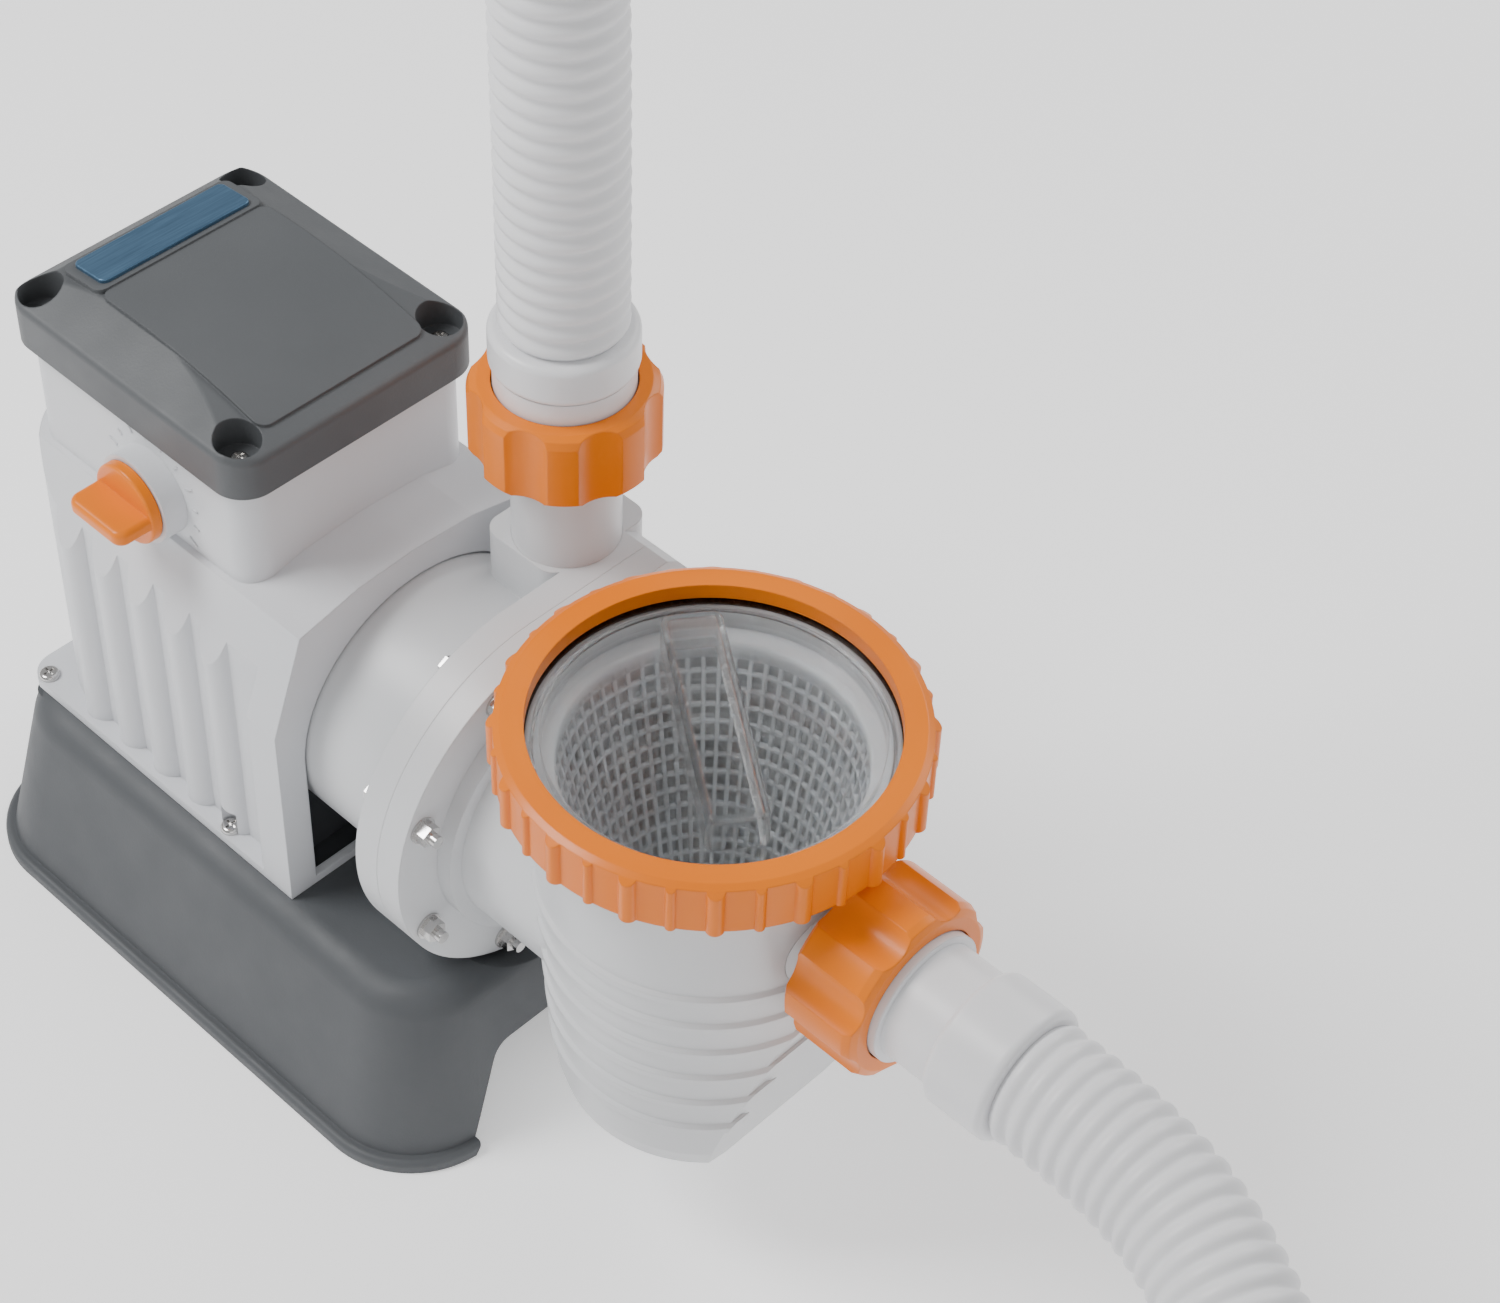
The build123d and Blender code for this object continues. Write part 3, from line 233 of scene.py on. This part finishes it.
# Moulded plastic: slow colour drift, uneven gloss, a fine spark-eroded grain and faint handling marks.
def mouldedPlastic(name, settings):
    material, tree, shader = startMaterial(name)
    drift = noiseFrom(tree, settings["driftScale"], 2.0)
    tree.links.new(rampFrom(tree, drift, settings["low"], settings["high"]), shader.inputs["Base Color"])
    patches = noiseFrom(tree, settings["patchScale"], 4.0)
    tree.links.new(spreadFrom(tree, patches, *settings["gloss"]), shader.inputs["Roughness"])
    shader.inputs["IOR"].default_value = moulded["ior"]
    shader.inputs["Specular IOR Level"].default_value = settings.get("specular", moulded["specular"])
    if settings.get("coat"):
        shader.inputs["Coat Weight"].default_value = settings["coat"]
        shader.inputs["Coat Roughness"].default_value = moulded["coatGloss"]
    if settings.get("glow"):
        shader.inputs["Subsurface Weight"].default_value = settings["glow"]
        shader.inputs["Subsurface Radius"].default_value = moulded["glowReach"]
        shader.inputs["Subsurface Scale"].default_value = 1.0
    grain = noiseFrom(tree, settings["grainScale"], 2.0, 0.6)
    ripple = noiseFrom(tree, settings["rippleScale"], 2.0)
    bumpFrom(tree, shader, [(ripple, settings["ripple"], moulded["rippleHeight"]),
                            (grain, settings["grain"], moulded["grainHeight"])], moulded["edge"])
    return material


housingPlastic = mouldedPlastic("housingPlastic", {
    "low": (0.62, 0.63, 0.655), "high": (0.68, 0.69, 0.71), "driftScale": 6, "patchScale": 30,
    "gloss": (0.36, 0.46), "grainScale": 1500, "grain": 0.25, "rippleScale": 28, "ripple": 0.06})
bodyPlastic = mouldedPlastic("bodyPlastic", {
    "low": (0.62, 0.63, 0.645), "high": (0.68, 0.69, 0.70), "driftScale": 6, "patchScale": 24,
    "gloss": (0.30, 0.40), "grainScale": 1700, "grain": 0.16, "rippleScale": 24, "ripple": 0.06})
basePlastic = mouldedPlastic("basePlastic", {
    "low": (0.066, 0.071, 0.077), "high": (0.079, 0.084, 0.090), "driftScale": 9, "patchScale": 40,
    "gloss": (0.50, 0.62), "grainScale": 900, "grain": 0.55, "rippleScale": 30, "ripple": 0.05})
coverPlastic = mouldedPlastic("coverPlastic", {
    "low": (0.073, 0.078, 0.083), "high": (0.087, 0.092, 0.097), "driftScale": 9, "patchScale": 40,
    "gloss": (0.46, 0.58), "grainScale": 1000, "grain": 0.5, "rippleScale": 30, "ripple": 0.05})
innerPlastic = mouldedPlastic("innerPlastic", {
    "low": (0.028, 0.030, 0.034), "high": (0.036, 0.039, 0.043), "driftScale": 9, "patchScale": 40,
    "gloss": (0.5, 0.6), "grainScale": 1000, "grain": 0.4, "rippleScale": 30, "ripple": 0.05})
orangePlastic = mouldedPlastic("orangePlastic", {
    "low": (0.80, 0.18, 0.0), "high": (0.86, 0.205, 0.0), "driftScale": 12, "patchScale": 40,
    "gloss": (0.28, 0.38), "grainScale": 1600, "grain": 0.08, "rippleScale": 40, "ripple": 0.08,
    "specular": 0.3, "coat": 0.08})
hosePlastic = mouldedPlastic("hosePlastic", {
    "low": (0.74, 0.74, 0.755), "high": (0.80, 0.80, 0.812), "driftScale": 8, "patchScale": 40,
    "gloss": (0.36, 0.46), "grainScale": 1200, "grain": 0.12, "rippleScale": 40, "ripple": 0.06,
    "glow": 0.06})
cuffPlastic = mouldedPlastic("cuffPlastic", {
    "low": (0.76, 0.76, 0.775), "high": (0.81, 0.81, 0.822), "driftScale": 8, "patchScale": 40,
    "gloss": (0.30, 0.40), "grainScale": 1400, "grain": 0.10, "rippleScale": 40, "ripple": 0.05,
    "glow": 0.05})
basketPlastic = mouldedPlastic("basketPlastic", {
    "low": (0.78, 0.81, 0.84), "high": (0.85, 0.88, 0.90), "driftScale": 14, "patchScale": 60,
    "gloss": (0.25, 0.36), "grainScale": 1500, "grain": 0.1, "rippleScale": 50, "ripple": 0.08,
    "glow": 0.15})
blackRubber = mouldedPlastic("blackRubber", {
    "low": (0.012, 0.012, 0.013), "high": (0.02, 0.02, 0.021), "driftScale": 20, "patchScale": 80,
    "gloss": (0.55, 0.7), "grainScale": 1400, "grain": 0.3, "rippleScale": 60, "ripple": 0.08})
blackNylon = mouldedPlastic("blackNylon", {
    "low": (0.018, 0.018, 0.02), "high": (0.026, 0.026, 0.028), "driftScale": 20, "patchScale": 80,
    "gloss": (0.38, 0.5), "grainScale": 1400, "grain": 0.25, "rippleScale": 60, "ripple": 0.05})
whiteNylon = mouldedPlastic("whiteNylon", {
    "low": (0.62, 0.62, 0.6), "high": (0.7, 0.7, 0.68), "driftScale": 20, "patchScale": 80,
    "gloss": (0.35, 0.5), "grainScale": 1400, "grain": 0.2, "rippleScale": 60, "ripple": 0.05})
sealCeramic = mouldedPlastic("sealCeramic", {
    "low": (0.72, 0.71, 0.68), "high": (0.78, 0.77, 0.74), "driftScale": 20, "patchScale": 80,
    "gloss": (0.15, 0.25), "grainScale": 1400, "grain": 0.05, "rippleScale": 60, "ripple": 0.02})


worked = {"toneScale": 60, "dull": 0.86, "lineScale": 220, "lineHeight": 0.0001}


# Metal with fine tool lines along one direction, given by stretch, and a slightly uneven tone and shine.
def workedMetal(name, settings):
    material, tree, shader = startMaterial(name)
    tone = noiseFrom(tree, worked["toneScale"], 3.0)
    dull = [worked["dull"] * c for c in settings["tint"]]
    tree.links.new(rampFrom(tree, tone, dull, settings["tint"]), shader.inputs["Base Color"])
    lines = noiseFrom(tree, worked["lineScale"], 3.0, 0.6, settings["stretch"])
    tree.links.new(spreadFrom(tree, lines, *settings["gloss"]), shader.inputs["Roughness"])
    shader.inputs["Metallic"].default_value = settings.get("metallic", 1.0)
    bumpFrom(tree, shader, [(lines, settings["grain"], worked["lineHeight"])])
    return material


stainless = workedMetal("stainless", {
    "tint": (0.62, 0.61, 0.6), "gloss": (0.16, 0.3), "stretch": (1, 1, 1), "grain": 0.25})
plainSteel = workedMetal("plainSteel", {
    "tint": (0.45, 0.45, 0.45), "gloss": (0.25, 0.4), "stretch": (0.1, 3, 3), "grain": 0.3})
castAluminium = workedMetal("castAluminium", {
    "tint": (0.6, 0.6, 0.61), "gloss": (0.4, 0.55), "stretch": (2, 2, 2), "grain": 0.5})
laminations = workedMetal("laminations", {
    "tint": (0.22, 0.22, 0.23), "gloss": (0.4, 0.55), "stretch": (12, 0.2, 0.2), "grain": 0.8})
copperWire = workedMetal("copperWire", {
    "tint": (0.55, 0.22, 0.09), "gloss": (0.25, 0.4), "stretch": (0.2, 6, 6), "grain": 0.9})
shellPaint = workedMetal("shellPaint", {
    "tint": (0.03, 0.03, 0.032), "gloss": (0.3, 0.4), "stretch": (1, 1, 1), "grain": 0.1, "metallic": 0.0})


# Clear polycarbonate, with a faint haze and flow lines from the mould.
def clearPlastic(name, settings):
    material, tree, shader = startMaterial(name)
    shader.inputs["Base Color"].default_value = settings["tint"]
    shader.inputs["Transmission Weight"].default_value = 1.0
    shader.inputs["IOR"].default_value = settings["ior"]
    shader.inputs["Alpha"].default_value = settings["alpha"]
    haze = noiseFrom(tree, settings["hazeScale"], 3.0)
    tree.links.new(spreadFrom(tree, haze, *settings["gloss"]), shader.inputs["Roughness"])
    flow = noiseFrom(tree, settings["flowScale"], 2.0)
    bumpFrom(tree, shader, [(flow, settings["flow"], settings["flowHeight"])], settings["edge"])
    return material


lidPlastic = clearPlastic("clearPlastic", {
    "tint": (0.985, 0.99, 0.99, 1), "ior": 1.38, "alpha": 0.8, "hazeScale": 45, "gloss": (0.01, 0.04),
    "flowScale": 30, "flow": 0.10, "flowHeight": 0.0006, "edge": 0.0014})


# A blank blue-grey name plate, brushed along its length.
def badgeMetal(name, settings):
    material, tree, shader = startMaterial(name)
    brushed = noiseFrom(tree, settings["brushScale"], 3.0, 0.6, settings["stretch"])
    tree.links.new(rampFrom(tree, brushed, settings["low"], settings["high"]), shader.inputs["Base Color"])
    shader.inputs["Metallic"].default_value = settings["metallic"]
    tree.links.new(spreadFrom(tree, brushed, *settings["gloss"]), shader.inputs["Roughness"])
    bumpFrom(tree, shader, [(brushed, settings["grain"], settings["grainHeight"])])
    return material


badgePlateFinish = badgeMetal("badgeMetal", {
    "low": (0.055, 0.115, 0.19), "high": (0.085, 0.17, 0.27), "metallic": 0.6, "gloss": (0.28, 0.4),
    "brushScale": 300, "stretch": (4, 0.15, 1), "grain": 0.2, "grainHeight": 0.0001})
print("stage: materials")


# shared Geometry Nodes helpers: inputs gives each named input its kind of socket
def geometryTree(name, inputs):
    tree = bpy.data.node_groups.new(name, "GeometryNodeTree")
    tree.interface.new_socket("Geometry", in_out="INPUT", socket_type="NodeSocketGeometry")
    for title, kind in inputs.items():
        tree.interface.new_socket(title, in_out="INPUT", socket_type="NodeSocket" + kind)
    tree.interface.new_socket("Geometry", in_out="OUTPUT", socket_type="NodeSocketGeometry")
    return tree, tree.nodes.new("NodeGroupInput").outputs, tree.nodes.new("NodeGroupOutput")


# Every tree ends in Realize Instances and Set Material.
def endTree(tree, geometry, ending, material):
    real = addNode(tree, "GeometryNodeRealizeInstances", {"Geometry": geometry})
    finish = addNode(tree, "GeometryNodeSetMaterial", {"Geometry": real.outputs[0], "Material": material})
    tree.links.new(finish.outputs[0], ending.inputs[0])


# Runs a tree on an empty mesh, with its inputs set, and returns the plain mesh that comes out.
def grownMesh(name, tree, values):
    seed = bpy.data.objects.new(name + "Seed", bpy.data.meshes.new(name + "Seed"))
    bpy.context.collection.objects.link(seed)
    modifier = seed.modifiers.new("nodes", "NODES")
    modifier.node_group = tree
    sockets = {item.name: item.identifier for item in tree.interface.items_tree if item.in_out == "INPUT"}
    for title, value in values.items():
        modifier[sockets[title]] = value
    bpy.context.view_layer.update()
    shape = seed.evaluated_get(bpy.context.evaluated_depsgraph_get())
    mesh = bpy.data.meshes.new_from_object(shape)
    mesh.name = name
    bpy.data.objects.remove(seed)
    return mesh


# hoses: routes chosen, in metres
intakeHose = {
    "route": [(0.275, 0, 0.188), (0.321, 0, 0.188), (0.367, -0.012, 0.183), (0.411, -0.036, 0.172),
              (0.454, -0.070, 0.149), (0.488, -0.114, 0.115), (0.511, -0.171, 0.077), (0.520, -0.250, 0.046),
              (0.506, -0.340, 0.027), (0.452, -0.426, 0.024), (0.362, -0.476, 0.024), (0.258, -0.480, 0.024),
              (0.165, -0.432, 0.024), (0.106, -0.346, 0.024), (0.103, -0.250, 0.024), (0.150, -0.167, 0.024),
              (0.236, -0.123, 0.0265), (0.328, -0.128, 0.0265)],
    "diameter": 0.048, "depth": 0.0020, "pitch": 0.0078, "sides": 40, "length": 1.395, "lay": "loose"}
linkHose = {
    "route": [(0, 0.045, 0.330), (0, 0.045, 0.400), (-0.002, 0.046, 0.480), (-0.006, 0.046, 0.560),
              (-0.008, 0.047, 0.630)],
    "diameter": 0.048, "depth": 0.0020, "pitch": 0.0078, "sides": 40, "length": 0.300, "lay": "taut"}
stepsPerRidge = 8.0
ridgeFullness = 1.6  # above 1, the ridges are broad and the grooves narrow
lineSteps = 24


def hoseLine(name, route):
    data = bpy.data.curves.new(name, "CURVE")
    data.dimensions = "3D"
    data.resolution_u = lineSteps
    spline = data.splines.new("NURBS")
    spline.points.add(len(route) - 1)
    for point, place in zip(spline.points, route):
        point.co = (*place, 1)
    spline.order_u = 3
    spline.use_endpoint_u = True
    line = bpy.data.objects.new(name, data)
    bpy.context.collection.objects.link(line)
    return line


def linePoints(line):
    bpy.context.view_layer.update()
    mesh = bpy.data.meshes.new_from_object(line)
    points = [tuple(v.co) for v in mesh.vertices]
    bpy.data.meshes.remove(mesh)
    return points


# A tube along the line whose radius dips by depth once in every pitch.
def corrugatedTree(material):
    tree, sizes, ending = geometryTree("corrugatedHose", {
        "Line": "Object", "Radius": "Float", "Depth": "Float", "Pitch": "Float", "Sides": "Int"})
    source = addNode(tree, "GeometryNodeObjectInfo", {"Object": sizes["Line"]})
    step = mathNode(tree, "DIVIDE", sizes["Pitch"], stepsPerRidge)
    sample = addNode(tree, "GeometryNodeResampleCurve", {
        "Curve": source.outputs["Geometry"], "Length": step}, mode="LENGTH")
    along = addNode(tree, "GeometryNodeSplineParameter").outputs["Length"]
    turns = mathNode(tree, "DIVIDE", along, sizes["Pitch"])
    wave = mathNode(tree, "COSINE", mathNode(tree, "MULTIPLY", turns, 2 * math.pi))
    lifted = mathNode(tree, "MULTIPLY", mathNode(tree, "ADD", wave, 1.0), 0.5)
    dip = mathNode(tree, "MULTIPLY", mathNode(tree, "POWER", lifted, ridgeFullness), sizes["Depth"])
    section = addNode(tree, "GeometryNodeCurvePrimitiveCircle", {"Radius": 1.0, "Resolution": sizes["Sides"]})
    tube = addNode(tree, "GeometryNodeCurveToMesh", {
        "Curve": sample.outputs[0], "Profile Curve": section.outputs[0],
        "Scale": mathNode(tree, "SUBTRACT", sizes["Radius"], dip), "Fill Caps": True})
    smooth = addNode(tree, "GeometryNodeSetShadeSmooth", {"Geometry": tube.outputs[0]})
    endTree(tree, smooth.outputs[0], ending, material)
    return tree


hoseTree = corrugatedTree(hosePlastic)


def addHose(name, settings, cadNode):
    line = hoseLine(name + "Line", settings["route"])
    points = linePoints(line)
    mesh = grownMesh(name, hoseTree, {
        "Line": line, "Radius": settings["diameter"] / 2, "Depth": settings["depth"],
        "Pitch": settings["pitch"], "Sides": settings["sides"]})
    bpy.data.objects.remove(line)
    piece = addPiece(name, mesh, None, "root", [cadNode])


addHose("intakeHose", intakeHose, "intake_hose")
addHose("linkHose", linkHose, "link_hose")
print("stage: hoses")

# marks round the timer knob: metres, and degrees from +X over the top
dialMarks = {"centre": (-0.1195, 0.235), "wall": -0.0555, "proud": 0.0005, "sunk": 0.0003,
             "inner": 0.0228, "outer": 0.0262, "longer": 0.0016, "longEvery": 3, "width": 0.0011,
             "slope": 0.00025, "count": 12, "first": -35, "last": 205}


# Plain raised bars with sloped sides, evenly spaced, from one side of the knob over the top to the other.
def addDialMarks():
    d = dialMarks
    cx, cz = d["centre"]
    bm = bmesh.new()
    for k in range(d["count"]):
        a = math.radians(d["first"] + (d["last"] - d["first"]) * k / (d["count"] - 1))
        reach = d["outer"] if k % d["longEvery"] else d["outer"] + d["longer"]
        out = Vector((math.cos(a), 0, math.sin(a)))
        side = Vector((-math.sin(a), 0, math.cos(a))) * d["width"] / 2
        corners = []
        for depth, trim in ((d["sunk"], 0), (-d["proud"], d["slope"])):
            base = Vector((cx, d["wall"] + depth, cz))
            near, far = d["inner"] + trim, reach - trim
            for r, s in ((near, -1), (far, -1), (far, 1), (near, 1)):
                corners.append(bm.verts.new(base + out * r + side * s * (1 - trim / d["width"])))
        bm.faces.new(corners[:4])
        bm.faces.new(corners[4:])
        for i in range(4):
            j = (i + 1) % 4
            bm.faces.new((corners[i], corners[j], corners[4 + j], corners[4 + i]))
    mesh = finishMesh(bm, "dialMarks", smooth=False)
    addPiece("dialMarks", mesh, housingPlastic, "root")


addDialMarks()
print("stage: dial marks")

# strainer basket: metres, with the outlines of rim and floor as (radius, height) in millimetres
basketShape = {
    "centre": (0.122, 0.0), "windowHeight": 0.188, "windowHalf": 0.0225,
    "lattice": {"Across": 60, "Up": 15, "Top": 0.2235, "Low": 0.1195, "Radius Top": 0.0573,
                "Radius Low": 0.0356, "Bar": 0.0016, "Thickness": 0.0016, "Ring Sides": 120},
    "rim": [(64.6, 227), (64.6, 229.4), (64.0, 230), (56.6, 230), (56.0, 229.4), (55.6, 223), (58.0, 223),
            (58.2, 226.4), (58.8, 227)],
    "floor": [(0, 118), (36.0, 118), (36.4, 118.6), (36.4, 121.5), (34.4, 121.5), (34.0, 120.2), (0, 120.2)]}


# A cone of crossing bars: leaning uprights and level rings, with rectangular holes left between them.
def latticeTree(material):
    tree, sizes, ending = geometryTree("basketLattice", {
        "Across": "Int", "Up": "Int", "Top": "Float", "Low": "Float", "Radius Top": "Float",
        "Radius Low": "Float", "Bar": "Float", "Thickness": "Float", "Ring Sides": "Int"})
    number = addNode(tree, "GeometryNodeInputIndex").outputs[0]
    strip = addNode(tree, "GeometryNodeCurvePrimitiveQuadrilateral", {
        "Width": sizes["Thickness"], "Height": sizes["Bar"]})
    # one upright, turned round the centre
    slant = addNode(tree, "GeometryNodeCurvePrimitiveLine", {
        "Start": vectorNode(tree, X=sizes["Radius Low"], Z=sizes["Low"]),
        "End": vectorNode(tree, X=sizes["Radius Top"], Z=sizes["Top"])})
    upright = addNode(tree, "GeometryNodeCurveToMesh", {
        "Curve": slant.outputs[0], "Profile Curve": strip.outputs[0], "Fill Caps": True})
    spots = addNode(tree, "GeometryNodeMeshCircle", {"Vertices": sizes["Across"], "Radius": 1.0})
    home = addNode(tree, "GeometryNodeSetPosition", {
        "Geometry": spots.outputs[0], "Position": vectorNode(tree)})
    angle = mathNode(tree, "MULTIPLY", mathNode(tree, "DIVIDE", number, sizes["Across"]), 2 * math.pi)
    bars = addNode(tree, "GeometryNodeInstanceOnPoints", {
        "Points": home.outputs[0], "Instance": upright.outputs[0], "Rotation": vectorNode(tree, Z=angle)})
    # one ring on each rung, as wide as the cone is there
    ladder = addNode(tree, "GeometryNodeMeshLine", {"Count": sizes["Up"]})
    share = mathNode(tree, "DIVIDE", number, mathNode(tree, "SUBTRACT", sizes["Up"], 1.0))
    height = betweenNode(tree, share, sizes["Low"], sizes["Top"])
    wide = betweenNode(tree, share, sizes["Radius Low"], sizes["Radius Top"])
    stand = addNode(tree, "GeometryNodeSetPosition", {
        "Geometry": ladder.outputs[0], "Position": vectorNode(tree, Z=height)})
    loop = addNode(tree, "GeometryNodeCurvePrimitiveCircle", {
        "Radius": 1.0, "Resolution": sizes["Ring Sides"]})
    loops = addNode(tree, "GeometryNodeInstanceOnPoints", {
        "Points": stand.outputs[0], "Instance": loop.outputs[0],
        "Scale": vectorNode(tree, X=wide, Y=wide, Z=1.0)})
    solidLoops = addNode(tree, "GeometryNodeRealizeInstances", {"Geometry": loops.outputs[0]})
    ring = addNode(tree, "GeometryNodeCurveToMesh", {
        "Curve": solidLoops.outputs[0], "Profile Curve": strip.outputs[0]})
    both = addNode(tree, "GeometryNodeJoinGeometry", {"Geometry": ring.outputs[0]})
    tree.links.new(bars.outputs[0], both.inputs[0])
    endTree(tree, both.outputs[0], ending, material)
    return tree


def addBasket():
    s = basketShape
    cx, cy = s["centre"]
    lattice = grownMesh("basketLattice", latticeTree(basketPlastic), s["lattice"])
    lattice.transform(Matrix.Translation((cx, cy, 0)))
    bm = bmesh.new()
    bm.from_mesh(lattice)
    bpy.data.meshes.remove(lattice)
    # the round window on the inlet side, and caps on the bars that it cuts
    gone = [v for v in bm.verts
            if v.co.x > cx and math.hypot(v.co.y, v.co.z - s["windowHeight"]) < s["windowHalf"]]
    bmesh.ops.delete(bm, geom=gone, context="VERTS")
    bmesh.ops.holes_fill(bm, edges=[e for e in bm.edges if e.is_boundary], sides=8)
    wall = finishMesh(bm, "basketWall", smooth=False)
    addPiece("basketWall", wall, basketPlastic, "basket", ["strainer_basket"])
    rim = spunMesh("basketRim", s["rim"], s["centre"])
    addPiece("basketRim", rim, basketPlastic, "basket")
    floor = spunMesh("basketFloor", s["floor"], s["centre"])
    addPiece("basketFloor", floor, basketPlastic, "basket")


addBasket()
print("stage: basket")

# finishes of the CAD parts that stay
finishes = {
    basePlastic: ["base_tray"], coverPlastic: ["box_cover"], innerPlastic: ["mounting_plate"],
    housingPlastic: ["motor_housing"],
    bodyPlastic: ["volute_body", "strainer_body", "discharge_port", "inlet_port", "suction_ring"],
    orangePlastic: ["lock_ring", "inlet_nut", "discharge_nut", "timer_knob"],
    cuffPlastic: ["intake_cuff", "intake_end_cuff", "link_cuff", "link_end_cuff"],
    lidPlastic: ["lid_window"], badgePlateFinish: ["badge_plate"],
    blackRubber: ["cover_gasket", "body_seal", "lid_seal", "discharge_gasket", "inlet_gasket", "seal_head"],
    blackNylon: ["cable_gland", "gland_nut", "cooling_fan", "impeller"],
    whiteNylon: ["timer_unit", "capacitor", "terminal_block"], sealCeramic: ["seal_seat"],
    stainless: ["cover_screws", "foot_screws", "flange_bolts", "flange_washers", "flange_nuts"],
    plainSteel: ["motor_shaft", "knob_spindle", "front_bearing", "rear_bearing"],
    castAluminium: ["front_shield", "rear_shield"], laminations: ["stator_core", "rotor_core"],
    copperWire: ["stator_windings"], shellPaint: ["motor_shell"]}
for finish, names in finishes.items():
    for name in names:
        nodes[name].data.materials.clear()
        nodes[name].data.materials.append(finish)
print("stage: finishes")
